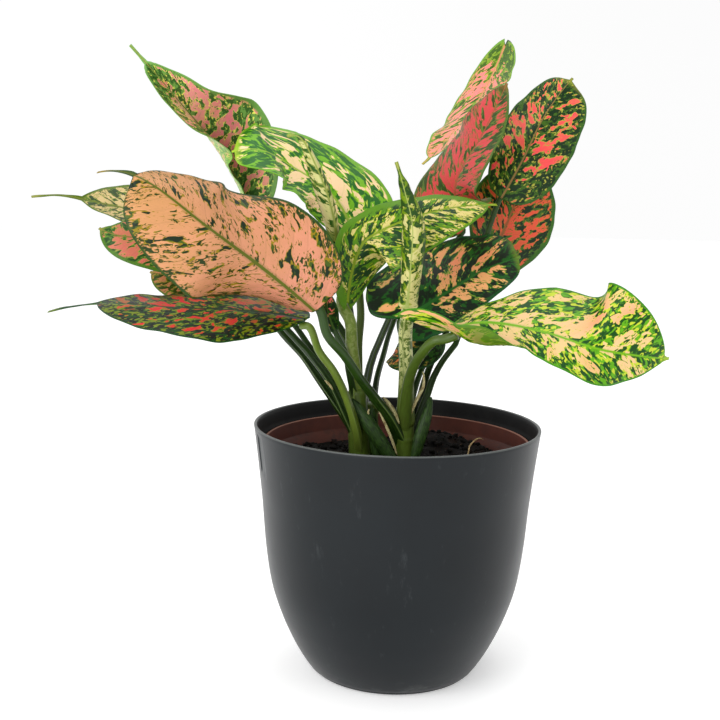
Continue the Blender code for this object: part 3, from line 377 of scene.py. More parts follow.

# Leaf skins. The gain: how light each leaf's colours are, partly the leaf's own lightness and partly
# painted light that makes up for how much lamp light the leaf gets. tail: share of fringe on the drip
# tail. under, back: the under side's mix and green, where they aren't the usual ones. patches: how
# much of the blade is patch at the base and at the tip, how much the patches' outline wanders, their
# size in mm across and along the side veins, and how many dark dashes lie in them and yellow-green
# specks in the green. edges: width of the margin on the left and right, half width of the midrib's
# stripe at the base, and how far forward a side vein runs for each mm outward, at the base and at
# the tip. colours: as in SKIN_COLOURS. spots: (along, across, size across the side veins, size along
# them, strength) of patches, or of green where the strength is below zero. tints: the same for where
# patch2 shows.
SKINS = {
    "leaf_front_salmon": dict(
        tone_and_light_gain=0.7, tail=0.9, patches=(0.32, 0.36, 1.0, 3.4, 8, 0.49, 0.5),
        edges=(1.5, 1.5, 1.1, 0.45, 1.0),
        colours=((38, 62, 12), (84, 104, 30), (164, 140, 58), (238, 163, 141), (234, 177, 125),
                 (56, 82, 18), (104, 112, 36)),
        spots=((0.3, -0.5, 3, 12, -0.25), (0.42, -0.62, 3, 10, -0.25), (0.72, -0.75, 8, 10, -0.3),
               (0.62, -0.62, 3, 10, -0.25), (0.1, 0.65, 8, 10, -0.22), (0.33, 0.5, 2.5, 10, -0.3),
               (0.48, 0.25, 2.5, 8, -0.3), (0.5, 0.65, 3, 10, -0.3), (0.57, 0.3, 3, 8, -0.25),
               (0.66, 0.3, 4, 8, -0.2), (0.2, 0.35, 2.5, 8, -0.3), (0.1, -0.05, 4, 5, -0.2),
               (0.75, 0.75, 8, 6, -0.25))),
    "leaf_lower_left": dict(
        # Painted shade: a low gain darkens this nearly level leaf against the grazing sheen it
        # catches
        tone_and_light_gain=0.68, patches=(-0.42, -0.5, 1.1, 4, 6, 0.3, 0.72), edges=(1.2, 1.0, 0.9, 0.45, 0.9),
        colours=((8, 26, 12), (44, 88, 28), (142, 160, 60), (254, 72, 80), (214, 122, 78),
                 (44, 84, 34), (40, 66, 32)),
        spots=((0.27, -0.41, 3, 5, 0.42), (0.31, -0.52, 3, 6, 0.42), (0.38, -0.51, 4, 8, 0.6),
               (0.42, -0.38, 2.5, 5, 0.5), (0.33, -0.16, 3, 4, 0.42), (0.375, -0.2, 2, 4, 0.4),
               (0.54, -0.08, 5, 8, 0.65), (0.47, -0.1, 2.5, 5, 0.45), (0.08, 0.1, 3, 8, 0.5),
               (0.18, -0.36, 3, 4, 0.4), (0.2, 0.42, 8, 9, 0.55), (0.28, 0.45, 4, 8, 0.5),
               (0.35, 0.55, 3, 12, 0.5), (0.41, 0.35, 3, 9, 0.45), (0.52, 0.8, 5, 9, 0.6),
               (0.47, 0.35, 2.5, 9, 0.45), (0.56, 0.35, 2.5, 9, 0.45), (0.63, 0.5, 3, 12, 0.55),
               (0.69, -0.3, 2.5, 5, 0.45), (0.65, -0.45, 2, 4, 0.4), (0.58, -0.75, 2, 4, 0.35),
               (0.7, 0.3, 3, 10, 0.4), (0.73, 0.6, 3, 8, 0.35)),
        tints=((0.2, 0.5, 9, 10, 0.8), (0.35, 0.5, 4, 12, 0.8), (0.18, -0.4, 4, 5, 0.8),
               (0.7, 0.3, 5, 10, 0.9), (0.3, -0.45, 3, 4, 0.4))),
    "leaf_upper_left": dict(
        # Painted light: this leaf faces away from the lamps, and its high gain lightens its colours
        # to make up for it
        tone_and_light_gain=2.3, tail=0.0, patches=(-0.12, -0.3, 1.25, 2.8, 6, 0.42, 0.6),
        edges=(2.4, 3.6, 0.9, 0.35, 0.8),
        colours=((56, 84, 46), (84, 116, 62), (178, 184, 92), (252, 110, 116), (252, 150, 136),
                 (78, 108, 58), (92, 96, 50)),
        spots=((0.55, 0.3, 16, 14, 0.32), (0.68, 0.4, 8, 14, 0.35), (0.45, 0.45, 6, 10, 0.15),
               (0.62, -0.45, 5, 12, 0.35), (0.67, -0.15, 6, 6, 0.4), (0.79, -0.03, 3, 5, 0.4),
               (0.8, -0.7, 10, 10, -0.5), (0.9, 0, 10, 20, -0.7), (0.1, 0.1, 8, 14, -0.35),
               (0.16, 0.2, 2, 4, 0.6), (0.16, 0.5, 2, 4, 0.55)),
        tints=((0.65, -0.3, 9, 14, 0.9),)),
    "leaf_left_slender": dict(
        tone_and_light_gain=0.82, patches=(-0.05, -0.1, 1.2, 3, 6, 0.45, 0.6), edges=(1.4, 2.2, 0.9, 0.5, 1.0),
        colours=((64, 88, 24), (112, 136, 58), (176, 174, 100), (242, 214, 168), (228, 200, 140),
                 (96, 118, 44), (120, 128, 50)),
        spots=((0.62, -0.7, 5, 8, 0.35), (0.56, 0.45, 4, 6, 0.25), (0.64, 0.1, 4, 5, 0.2),
               (0.8, 0, 12, 20, -0.6))),
    "leaf_left_coral": dict(
        tone_and_light_gain=0.67, patches=(-0.04, -0.04, 1.0, 3, 5, 0.38, 0.5), edges=(2.4, 2.4, 0.8, 0.5, 0.9),
        colours=((60, 100, 34), (104, 146, 66), (180, 172, 92), (228, 106, 106), (232, 140, 120),
                 (92, 132, 58), (150, 130, 76)),
        spots=((0.72, -0.6, 6, 7, 0.3), (0.8, 0.1, 7, 10, 0.25), (0.95, 0, 8, 14, -0.5))),
    "leaf_left_inner": dict(
        tone_and_light_gain=0.9, patches=(-0.1, -0.15, 1.1, 3, 4, 0.45, 0.5), edges=(1.4, 1.4, 0.7, 0.5, 0.9),
        colours=((70, 84, 40), (100, 116, 52), (170, 140, 80), (206, 128, 104), (196, 132, 100),
                 (86, 112, 44), (120, 110, 60))),
    "leaf_small_left": dict(
        tone_and_light_gain=1.4, patches=(-0.45, -0.2, 0.8, 2, 3, 0.3, 0.3), edges=(0.8, 0.8, 0.4, 0.5, 0.9),
        colours=((24, 44, 18), (40, 66, 26), (120, 110, 60), (238, 108, 108), (238, 108, 108),
                 (36, 62, 26), (60, 80, 40)),
        spots=((0.74, 0.3, 3, 4, 0.8),)),
    "leaf_centre_broad": dict(
        tone_and_light_gain=0.94, patches=(-0.22, -0.2, 1.3, 4.6, 7, 0.38, 0.55), edges=(2.2, 4.0, 0.9, 0.45, 0.9),
        colours=((52, 118, 22), (118, 176, 36), (190, 212, 92), (252, 218, 176), (244, 206, 158),
                 (112, 168, 32), (150, 176, 76)),
        spots=((0.64, 0.15, 8, 14, 0.5), (0.6, -0.3, 6, 8, 0.35), (0.22, 0.15, 8, 9, 0.35),
               (0.3, 0.3, 7, 8, 0.3), (0.4, 0.25, 3, 5, 0.3), (0.15, -0.2, 6, 7, 0.3),
               (0.45, 0.75, 20, 9, -0.4), (0.85, -0.4, 10, 20, -0.7), (0.85, 0.5, 8, 16, -0.5),
               (0.68, 0.55, 3, 8, 0.35), (0.35, -0.6, 8, 8, 0.3)),
        tints=((0.76, 0.0, 4, 8, 0.9),)),
    "leaf_centre_front": dict(
        tone_and_light_gain=0.8, patches=(-0.5, -0.04, 1.25, 2.8, 5.5, 0.48, 0.6), edges=(4.5, 1.6, 0.8, 0.7, 1.2),
        colours=((30, 78, 14), (100, 148, 18), (176, 190, 60), (238, 220, 152), (236, 216, 148),
                 (98, 142, 22), (140, 160, 60)),
        spots=((0.28, 0.5, 8, 6, 0.5), (0.2, -0.35, 3, 4, 0.35), (0.25, -0.45, 3, 5, 0.35),
               (0.33, -0.55, 3, 4, 0.35), (0.4, -0.5, 4, 4, 0.35), (0.37, 0.25, 4, 5, 0.35),
               (0.42, 0.0, 4, 5, 0.3), (0.15, 0.75, 3, 5, 0.4), (0.3, -0.9, 30, 4, -0.5),
               (0.15, 0.1, 6, 8, -0.3), (0.75, 0.1, 12, 14, 0.2))),
    "leaf_centre_dark": dict(
        tone_and_light_gain=1.1, patches=(-0.45, -0.45, 1.15, 3.4, 7, 0.5, 0.45), edges=(2.0, 2.0, 1.0, 0.5, 0.9),
        colours=((20, 46, 24), (40, 84, 38), (120, 144, 60), (230, 170, 122), (228, 146, 112),
                 (34, 72, 42), (46, 92, 44)),
        spots=((0.45, 0.25, 8, 7, 0.62), (0.65, 0.35, 6, 8, 0.6), (0.45, -0.25, 8, 7, 0.5),
               (0.6, -0.4, 6, 8, 0.42), (0.8, -0.35, 4, 6, 0.42), (0.3, -0.15, 4, 5, 0.35),
               (0.35, 0.75, 2, 8, 0.5), (0.55, 0.9, 2.5, 4, 0.5), (0.8, 0.8, 2.5, 5, 0.45),
               (0.06, -0.45, 2.5, 4, 0.5), (0.13, -0.85, 2.5, 4, 0.55), (0.1, -0.7, 2, 3, 0.4),
               (0.75, 0.2, 6, 5, 0.3), (0.9, 0, 5, 14, -0.7)),
        tints=((0.6, -0.4, 12, 10, 1.0), (0.8, -0.3, 8, 10, 0.8))),
    "leaf_top_right": dict(
        tone_and_light_gain=1.0, patches=(0.0, 0.12, 1.1, 2.4, 8, 0.4, 0.5), edges=(1.4, 1.8, 0.9, 0.5, 0.9),
        colours=((78, 112, 36), (132, 160, 64), (188, 160, 92), (246, 140, 138), (250, 154, 146),
                 (116, 158, 68), (206, 150, 112)),
        spots=((0.02, 0, 6, 40, -0.8), (0.12, -0.7, 6, 10, -0.45), (0.35, -0.75, 10, 6, -0.45),
               (0.55, 0.35, 3, 12, -0.3), (0.4, 0.6, 3, 10, -0.3), (0.1, 0.1, 4, 6, -0.25))),
    "leaf_upper_inner": dict(
        tone_and_light_gain=0.78, patches=(0.1, 0.12, 1.0, 2.2, 9, 0.42, 0.4), edges=(1.2, 2.4, 0.7, 0.5, 0.8),
        colours=((70, 92, 46), (104, 124, 62), (160, 112, 74), (222, 84, 90), (222, 92, 96),
                 (84, 112, 52), (176, 92, 76)),
        spots=((0.45, 0.02, 3, 5, -0.35), (0.7, 0.85, 10, 6, -0.5), (0.95, 0, 6, 30, -0.8),
               (0.3, -0.85, 8, 5, -0.3), (0.6, 0.4, 3, 10, -0.2))),
    "leaf_upper_right": dict(
        tone_and_light_gain=1.05, patches=(-0.4, -0.38, 0.8, 3, 5, 0.3, 0.62), edges=(1.8, 1.8, 0.6, 0.55, 0.75),
        colours=((34, 58, 30), (66, 96, 42), (160, 160, 78), (232, 84, 94), (236, 96, 98),
                 (54, 88, 42), (136, 108, 72)),
        spots=((0.18, -0.74, 2.5, 5, 0.5), (0.25, -0.3, 2.5, 5, 0.42), (0.39, -0.58, 4, 5, 0.6),
               (0.44, -0.33, 3, 6, 0.5), (0.57, -0.83, 3.5, 5, 0.55), (0.55, -0.5, 4, 5, 0.55),
               (0.69, -0.55, 3, 5, 0.55), (0.6, -0.27, 3, 4, 0.5), (0.71, -0.24, 3, 6, 0.55),
               (0.83, -0.43, 3, 5, 0.5), (0.9, -0.24, 2.5, 3, 0.45), (0.17, 0.22, 2.5, 3, 0.5),
               (0.28, 0.2, 2.5, 4, 0.5), (0.31, 0.47, 3, 4, 0.5), (0.25, 0.87, 2, 3, 0.4),
               (0.44, 0.19, 4, 4, 0.58), (0.39, 0.56, 3, 6, 0.5), (0.46, 0.44, 2.5, 4, 0.5),
               (0.44, 0.75, 2.5, 5, 0.5), (0.57, 0.56, 4.5, 4, 0.58), (0.67, 0.44, 3.5, 4, 0.5),
               (0.74, 0.56, 3, 4, 0.5), (0.85, 0.4, 3, 6, 0.55), (0.73, 0.81, 3, 3, 0.45),
               (0.5, 0.1, 3, 3, 0.35))),
    "leaf_right_behind": dict(
        tone_and_light_gain=1.0, patches=(-0.1, -0.1, 1.2, 2.6, 5.5, 0.42, 0.5), edges=(2.6, 3.2, 0.8, 0.5, 0.9),
        colours=((30, 56, 24), (74, 108, 48), (140, 130, 60), (226, 94, 84), (232, 108, 80),
                 (58, 98, 42), (150, 96, 64)),
        spots=((0.35, -0.05, 6, 6, 0.3), (0.35, 0.3, 6, 6, 0.25), (0.5, 0.6, 5, 6, 0.2),
               (0.3, 0.85, 8, 4, -0.4), (0.3, -0.3, 3, 6, -0.3))),
    "leaf_lower_right": dict(
        tone_and_light_gain=0.87, under=(0.1, 0.85), back=(88, 116, 40),
        patches=(-0.14, -0.26, 1.25, 3.6, 7, 0.42, 0.7), edges=(1.3, 1.2, 1.0, 0.55, 0.7),
        colours=((22, 88, 32), (104, 168, 30), (198, 212, 84), (244, 204, 156), (246, 172, 138),
                 (70, 132, 22), (122, 176, 46)),
        spots=((0.55, -0.35, 10, 8, 0.5), (0.5, -0.18, 8, 6, 0.4), (0.72, -0.65, 4, 8, 0.5),
               (0.3, -0.2, 4, 9, 0.42), (0.2, -0.1, 4, 6, 0.45), (0.3, -0.75, 3, 8, 0.35),
               (0.42, -0.75, 3, 8, 0.3), (0.23, -0.4, 3, 9, -0.4), (0.35, -0.45, 2.5, 9, -0.35),
               (0.48, -0.8, 2.5, 6, 0.35), (0.65, -0.25, 5, 7, -0.55), (0.55, -0.85, 9, 5, -0.55),
               (0.28, 0.3, 8, 8, 0.45), (0.48, 0.2, 7, 6, 0.42), (0.57, 0.2, 4, 5, 0.42),
               (0.66, 0.35, 5, 8, -0.5), (0.8, 0.55, 4, 5, 0.5), (0.47, 0.65, 3, 4, 0.42),
               (0.62, 0.5, 4, 4, 0.4), (0.8, 0.0, 3, 8, 0.35), (0.88, -0.3, 8, 14, -0.5),
               (0.7, 0.8, 14, 6, -0.4), (0.92, 0.2, 6, 20, -0.6), (0.76, -0.35, 4, 4, 0.4),
               (0.38, 0.3, 2.5, 7, -0.35), (0.04, 0.55, 5, 7, 0.3), (0.1, 0.8, 5, 7, 0.35)),
        tints=((0.6, -0.45, 8, 9, 1.0), (0.75, -0.6, 5, 8, 1.0), (0.45, 0.65, 4, 5, 0.7),
               (0.62, 0.5, 4, 5, 0.7), (0.08, 0.9, 8, 5, 1.0))),
    "leaf_small_drooping": dict(
        tone_and_light_gain=1.2, patches=(-0.5, -0.4, 1.0, 2.4, 4, 0.4, 0.4), edges=(1.0, 1.0, 0.5, 0.5, 0.9),
        colours=((24, 44, 26), (46, 76, 40), (120, 110, 56), (196, 152, 94), (200, 96, 70),
                 (36, 66, 36), (50, 80, 44)),
        spots=((0.45, 0.2, 3, 5, 0.4), (0.8, 0.3, 3, 6, 0.5)),
        tints=((0.8, 0.3, 4, 7, 1.0),)),
    "leaf_spike": dict(
        tone_and_light_gain=0.76, patches=(0.06, -0.5, 1.5, 4.0, 6, 0.42, 0.6), edges=(0.6, 0.6, 0.3, 0.1, 0.15),
        colours=((62, 96, 18), (122, 150, 40), (186, 188, 104), (228, 220, 156), (230, 222, 162),
                 (70, 104, 26), (176, 186, 112)),
        spots=((0.95, 0, 22, 40, -0.9), (0.02, 0, 6, 20, -0.4), (0.2, -0.2, 4, 8, 0.2),
               (0.55, 0, 6, 10, 0.2))),
    "leaf_young_hooked": dict(
        tone_and_light_gain=0.9, patches=(0.02, -0.04, 1.4, 3, 8, 0.44, 0.5), edges=(0.5, 0.5, 0.5, 0.9, 1.2),
        colours=((62, 102, 28), (126, 144, 76), (172, 172, 100), (212, 210, 146), (250, 214, 192),
                 (120, 168, 76), (150, 160, 86)),
        spots=((0.95, 0, 10, 20, -0.7), (0.4, 0.9, 16, 4, 0.4)),
        tints=((0.4, 0.85, 30, 4, 1.0),)),
}

# The skins' colours: two greens, the yellow-green between green and patch, the patch at the base
# and at the tip, the margin and the midrib's stripe. Then the other values that the skin's nodes
# take
SKIN_COLOURS = ("ground", "second", "fringe", "patch", "patch2", "margin", "rib")
SKIN_VALUES = ("seed", "tail", "rough", "grain", "stretch", "dash", "speck", "margin_left",
               "margin_right", "rib_width")


# Geometry


def unit(vectors):
    return vectors / np.linalg.norm(vectors, axis=-1, keepdims=True)


def run_along(points):
    """Length of the line of points up to each of them."""
    return np.concatenate([[0], np.cumsum(np.linalg.norm(np.diff(points, axis=0), axis=1))])


def smooth(points, share):
    """Points of a smooth curve through the given points, at shares of their chord length."""
    points = np.asarray(points, float)
    knot = run_along(points)
    knot = knot / knot[-1]
    slope = np.empty_like(points)
    slope[1:-1] = (points[2:] - points[:-2]) / (knot[2:] - knot[:-2])[:, None]
    slope[0] = 2 * (points[1] - points[0]) / knot[1] - slope[1]
    slope[-1] = 2 * (points[-1] - points[-2]) / (1 - knot[-2]) - slope[-2]
    i = np.clip(np.searchsorted(knot, share, side="right") - 1, 0, len(points) - 2)
    width = (knot[i + 1] - knot[i])[..., None]
    x = (share - knot[i])[..., None] / width
    start = (1 + 2 * x) * (1 - x) ** 2 * points[i] + x * (1 - x) ** 2 * width * slope[i]
    end = x * x * (3 - 2 * x) * points[i + 1] + x * x * (x - 1) * width * slope[i + 1]
    return start + end


def facing_vector(turned, raised):
    turned, raised = math.radians(turned), math.radians(raised)
    level = math.cos(raised)
    return np.array([level * math.sin(turned), -level * math.cos(turned), math.sin(raised)])


def frame_at(leaf, along):
    """The midrib's points, and unit vectors along it, to the right half and off the upper side."""
    ahead, behind = (smooth(leaf["midrib"], np.clip(along + reach, 0, 1))
                     for reach in (SLOPE_REACH, -SLOPE_REACH))
    forward = unit(ahead - behind)
    start, end = (facing_vector(*facing) for facing in leaf["facing"])
    up = start * (1 - along[..., None]) + end * along[..., None]
    up = unit(up - (up * forward).sum(-1, keepdims=True) * forward)
    return smooth(leaf["midrib"], along), forward, np.cross(forward, up), up


def half_width(leaf, along, widest_half):
    """Half width of the blade: a blunt base, a tapering tip and a narrow drip tail."""
    widest, shoulder, blunt, taper = leaf["shape"]
    base = np.sin(math.pi / 2 * np.clip(along / widest, 0, 1)) ** blunt
    fall = np.clip((along - widest) / (shoulder - widest), 0, 1)
    tip = np.cos(math.pi / 2 * fall) ** taper
    drip = leaf["tail"] * np.clip((1 - along) / (1 - shoulder), 0, 1) ** DRIP_POWER
    width = np.hypot(widest_half * np.where(along < widest, base, tip), fall * drip)
    least = BLADE_END + (BLADE_START - BLADE_END) * np.clip(1 - along / START_FADE, 0, 1)
    return np.maximum(width, least)


def by_half(leaf, across):
    """A function that gives a leaf's value for the half that each point lies on."""
    right = (across > 0).astype(int)
    return lambda key: np.array(leaf.get(key, (0, 0)), float)[right]


def furled_share(along):
    return np.clip((FURL_END - along) / FURL_FADE, 0, 1)


def blade_points(leaf, along, across):
    """Points of the upper side: along from base 0 to tip 1, across from left -1 to right 1."""
    middle, forward, right, up = frame_at(leaf, along)
    outward = np.abs(across)
    value = by_half(leaf, across)
    base = np.clip(1 - along / LOBE_END, 0, 1)
    furled = furled_share(along)
    heart = value("heart")
    width = half_width(leaf, along, value("half"))
    width = np.hypot(width, heart * value("half") * base) + value("furl_width") * furled
    narrow = np.clip(width / NARROW, 0, 1)
    fold = np.radians(value("fold") + value("opening") * along) * narrow
    fold = fold + np.radians(value("furl_fold")) * furled * np.clip(along / FURL_START, 0, 1)
    curl = np.radians((value("curl") + value("furl") * furled) * narrow + LEAST_CURL)
    sideways = (np.sin(fold + curl * outward) - np.sin(fold)) / curl
    upward = (np.cos(fold) - np.cos(fold + curl * outward)) / curl
    reach = np.where(heart > 0, np.sin(math.pi / 2 * outward / HEART_PEAK), outward**LOBE_POWER)
    back = value("lobe") * reach * base**2
    offset = (right * (np.sign(across) * width * sideways)[..., None]
              + up * (width * upward)[..., None])
    return middle + offset - forward * back[..., None]


# Colours and nodes


def srgb(colour):
    """A colour of 0-255 as Blender's linear one."""
    share = np.asarray(colour, float) / 255
    return np.where(share < 0.04045, share / 12.92, ((share + 0.055) / 1.055) ** 2.4)


def deepened(colour, tone_and_light_gain):
    """A leaf's linear colour, made a little darker and stronger against the studio's haze, times a
    gain that is partly painted light.
    """
    linear = srgb(colour)
    grey = linear.mean()
    return np.clip((grey + (linear - grey) * LEAF_SATURATION) * tone_and_light_gain - LEAF_HAZE, 0.002, 1)


class Output:
    """A node's output. Arithmetic with it adds math nodes."""

    def __init__(self, tree, socket):
        self.tree, self.socket = tree, socket

    def __add__(self, other):
        return self.tree.math("ADD", self, other)

    def __sub__(self, other):
        return self.tree.math("SUBTRACT", self, other)

    def __rsub__(self, other):
        return self.tree.math("SUBTRACT", other, self)

    def __mul__(self, other):
        return self.tree.math("MULTIPLY", self, other)

    def __truediv__(self, other):
        return self.tree.math("DIVIDE", self, other)


class Tree:
    """Short calls for building a node tree."""

    def __init__(self, tree):
        self.tree = tree

    def fill(self, socket, value):
        """Links a socket to an output, or gives it a number, a vector or a linear colour."""
        if isinstance(value, Output):
            self.tree.links.new(value.socket, socket)
        else:
            socket.default_value = (*value, 1) if socket.type == "RGBA" else value

    def node(self, kind, inputs=(), output=0, **settings):
        """Adds a node, fills its inputs by number or by name, and returns one of its outputs."""
        made = self.tree.nodes.new(kind)
        for key, value in settings.items():
            setattr(made, key, value)
        for key, value in inputs.items() if isinstance(inputs, dict) else enumerate(inputs):
            self.fill(made.inputs[key], value)
        return Output(self, made.outputs[output])

    def math(self, operation, *values):
        return self.node("ShaderNodeMath", values, operation=operation)

    def combine(self, *values):
        return self.node("ShaderNodeCombineXYZ", values)

    def split(self, vector):
        made = self.node("ShaderNodeSeparateXYZ", (vector,)).socket.node
        return [Output(self, socket) for socket in made.outputs]

    def scaled(self, vector, scale):
        return self.node("ShaderNodeVectorMath", (vector, scale), operation="MULTIPLY")

    def attribute(self, name, output="Vector"):
        return self.node("ShaderNodeAttribute", output=output, attribute_name=name)

    def place(self, output="Object"):
        """The place in the object, in metres."""
        return self.node("ShaderNodeTexCoord", output=output)

    def noise(self, vector, scale, detail=2.0, roughness=0.5, distortion=0.0):
        return self.node("ShaderNodeTexNoise", {
            "Vector": vector, "Scale": scale, "Detail": detail, "Roughness": roughness,
            "Distortion": distortion}, "Fac")

    def step(self, value, low, high):
        """0 below low, 1 above high, smooth between. low may be the higher one."""
        return self.node("ShaderNodeMapRange", (value, low, high), interpolation_type="SMOOTHSTEP")

    def mix(self, share, a, b):
        """A colour between a and b. 0, 6 and 7 are the colour mix's inputs, and 2 its result."""
        return self.node("ShaderNodeMix", {0: share, 6: a, 7: b}, 2, data_type="RGBA")

    def laid(self, colour, *layers):
        """A colour with (share, colour) pairs laid over it in turn."""
        for share, over in layers:
            colour = self.mix(share, colour, over)
        return colour

    def painted(self, colour, *layers):
        """The same with colours in sRGB."""
        return self.laid(srgb(colour), *((share, srgb(over)) for share, over in layers))


class Material(Tree):
    """A material's node tree around its Principled BSDF."""

    def __init__(self, name):
        self.material = bpy.data.materials.new(name)
        self.material.use_nodes = True
        super().__init__(self.material.node_tree)
        self.shader = self.tree.nodes["Principled BSDF"].inputs

    def finish(self, colour, roughness, specular, bump=None, strength=0.0, distance=0.0):
        """Fills the shader. distance is the bump's height in mm."""
        inputs = {"Base Color": colour, "Roughness": roughness, "Specular IOR Level": specular}
        if bump is not None:
            inputs["Normal"] = self.node(
                "ShaderNodeBump", {"Strength": strength, "Distance": distance * MM, "Height": bump})
        for key, value in inputs.items():
            self.fill(self.shader[key], value)
        return self.material


def skin_group():
    """The node group for a leaf's colours. It reads the blade's own attributes, in mm: skin is
    (place along, counted where the side vein starts; place across; distance from the margin), tone
    is (how much patch, how much of the tip's patch colour, share of the length)."""
    group = bpy.data.node_groups.new("leaf_skin", "ShaderNodeTree")
    sockets = [(key, "INPUT", "Color") for key in SKIN_COLOURS]
    sockets += [(key, "INPUT", "Float") for key in SKIN_VALUES]
    for key, way, kind in (*sockets, ("Colour", "OUTPUT", "Color"), ("Height", "OUTPUT", "Float")):
        group.interface.new_socket(key, in_out=way, socket_type="NodeSocket" + kind)
    t = Tree(group)
    given = {item.name: Output(t, item) for item in t.node("NodeGroupInput").socket.node.outputs}
    seed, second, fringe, margin = (given[key] for key in ("seed", "second", "fringe", "margin"))
    phase, across, edge = t.split(t.attribute("skin"))
    tone, tint, share = t.split(t.attribute("tone"))
    x = phase / given["grain"]
    y = across / (given["stretch"] * STRETCH)

    def spread(offset, scale, detail, roughness=0.5, distortion=0.0):
        """Noise that is laid along the side veins, with its own offset of the seed."""
        return t.noise(t.combine(x, y, seed + offset), scale, detail, roughness, distortion)

    field = (spread(0.0, 0.85, 2.0, 0.5, 0.5) - 0.5) * given["rough"] * ROUGHNESS + tone
    # Greens: dark with blotches of the second green, and yellow-green specks
    blotch = t.step(spread(7.3, 1.2, 2.0, 0.6, 0.5), 0.49, 0.58)
    speck = t.step(spread(3.1, 1.7, 1.0, 0.5, 0.5) + given["speck"] * 0.8, 1.12, 1.18)
    green = t.laid(given["ground"], (blotch, second), (speck, fringe))
    # Patches with soft clouds, and dark dashes with a pale halo in them
    patch = t.mix(tint, given["patch"], given["patch2"])
    cloud = t.step(spread(11.0, 0.35, 2.0), 0.35, 0.7)
    patch = t.mix(cloud, patch, t.mix(0.16, patch, fringe))
    streak = t.noise(t.combine(x * 1.1, y, seed + 5.7), 1.9, 2.0, 0.65, 0.9)
    dashes = (spread(17.0, 0.45, 1.0) - 0.5) * 0.35 + streak
    dashes = dashes + given["dash"] * 0.52 + t.step(edge, 9.0, 1.0) * 0.11
    patch = t.mix(t.step(dashes, 0.815, 0.86), patch, t.mix(0.75, patch, fringe))
    patch = t.mix(t.step(dashes, 0.86, 0.895), patch, t.mix(0.25, given["ground"], second))
    # A broken fringe round the patches
    fringed = t.step(spread(7.3, 1.2, 1.0) * 0.42 + field, 0.10, 0.15)
    colour = t.laid(green, (fringed, fringe), (t.step(field, -0.02, 0.03), patch))
    # Margin
    right = t.step(across, -0.5, 0.5)
    width = given["margin_right"] * right + given["margin_left"] * (1.0 - right)
    width = width * (spread(0.0, 0.7, 2.0) * 1.3 + 0.35)
    rim = t.step(edge, width, width * 0.55)
    colour = t.laid(colour, (rim, t.mix(blotch * 0.5, margin, second)),
                    (t.step(edge, 0.7, 0.2) * 0.5, margin))
    # Side veins, midrib with its seams, tail and a fine dark grain
    vein = t.step(t.math("PINGPONG", phase / VEIN_SPACE, 0.5), 0.09, 0.0)
    off = t.math("ABSOLUTE", across) / (given["rib_width"] * (1.0 - share * 0.75))
    rib = t.step(off, 1.15, 0.7)
    seam = t.step(off, 2.4, 1.1) * (1.0 - rib)
    tail = t.step(share, 0.93, 0.98) * given["tail"]
    grain = t.noise(t.combine(phase, across, seed), 1.6, 2.0, 0.6)
    colour = t.laid(colour, (vein * 0.10, second), (rib, given["rib"]), (seam * 0.35, second),
                    (tail, fringe), (grain * 0.16, (0.02, 0.03, 0.01)))
    out = t.tree.nodes.new("NodeGroupOutput").inputs
    t.fill(out["Colour"], colour)
    t.fill(out["Height"], grain * 0.5 - vein * 0.6)
    return group


def leaf_material(name, skin, group, seed, side):
    """The material of a leaf's upper side, or of its duller under side."""
    t = Material(f"{name}_{side}")
    used = t.node("ShaderNodeGroup", node_tree=group).socket.node
    for key, colour in zip(SKIN_COLOURS, skin["colours"]):
        # The gain is partly the leaf's own lightness and partly painted light for how much lamp light
        # it gets
        tone_and_light_gain = skin["tone_and_light_gain"] * (GROUND_DEPTH if key == "ground" else 1)
        t.fill(used.inputs[key], deepened(colour, tone_and_light_gain))
    values = (seed, skin.get("tail", TAIL_YELLOW), *skin["patches"][2:], *skin["edges"][:3])
    for key, value in zip(SKIN_VALUES, values):
        used.inputs[key].default_value = value
    colour, height = (Output(t, socket) for socket in used.outputs)
    if side == "under":
        base, beyond = skin.get("under", UNDER_MIX)
        paler = t.step(t.split(t.attribute("tone"))[2], 0.08, 0.16) * (beyond - base) + base
        colour = t.mix(paler, colour, deepened(skin.get("back", UNDER_GREEN), skin["tone_and_light_gain"]))
    return t.finish(colour, LEAF_ROUGHNESS, LEAF_SPECULAR, height, strength=0.35, distance=0.25)


# Meshes


def add_object(name, data):
    obj = bpy.data.objects.new(name, data)
    bpy.context.scene.collection.objects.link(obj)
    return obj


def mesh_object(name, points, faces, *materials):
    """An object from points in mm and rows of corner numbers."""
    mesh = bpy.data.meshes.new(name)
    corners = (np.asarray(points) * MM).tolist()
    mesh.from_pydata(corners, [], [list(map(int, face)) for face in faces])
    mesh.update()
    mesh.shade_smooth()
    for item in materials:
        mesh.materials.append(item)
    return add_object(name, mesh)


def set_attribute(obj, name, values):
    values = np.asarray(values, np.float32)
    kind, key = ("FLOAT_VECTOR", "vector") if values.ndim == 2 else ("FLOAT", "value")
    obj.data.attributes.new(name, kind, "POINT").data.foreach_set(key, values.ravel())


def set_uv(obj, name, u, v):
    corners = np.empty(len(obj.data.loops), np.int32)
    obj.data.loops.foreach_get("vertex_index", corners)
    places = np.stack([u[corners], v[corners]], -1).astype(np.float32)
    obj.data.uv_layers.new(name=name).uv.foreach_set("vector", places.ravel())


def grid_faces(rows, columns, start, flip):
    i, j = np.meshgrid(np.arange(rows - 1), np.arange(columns - 1), indexing="ij")
    a = (start + i * columns + j).ravel()
    quads = np.stack([a, a + columns, a + columns + 1, a + 1], -1)
    return quads[:, ::-1] if flip else quads


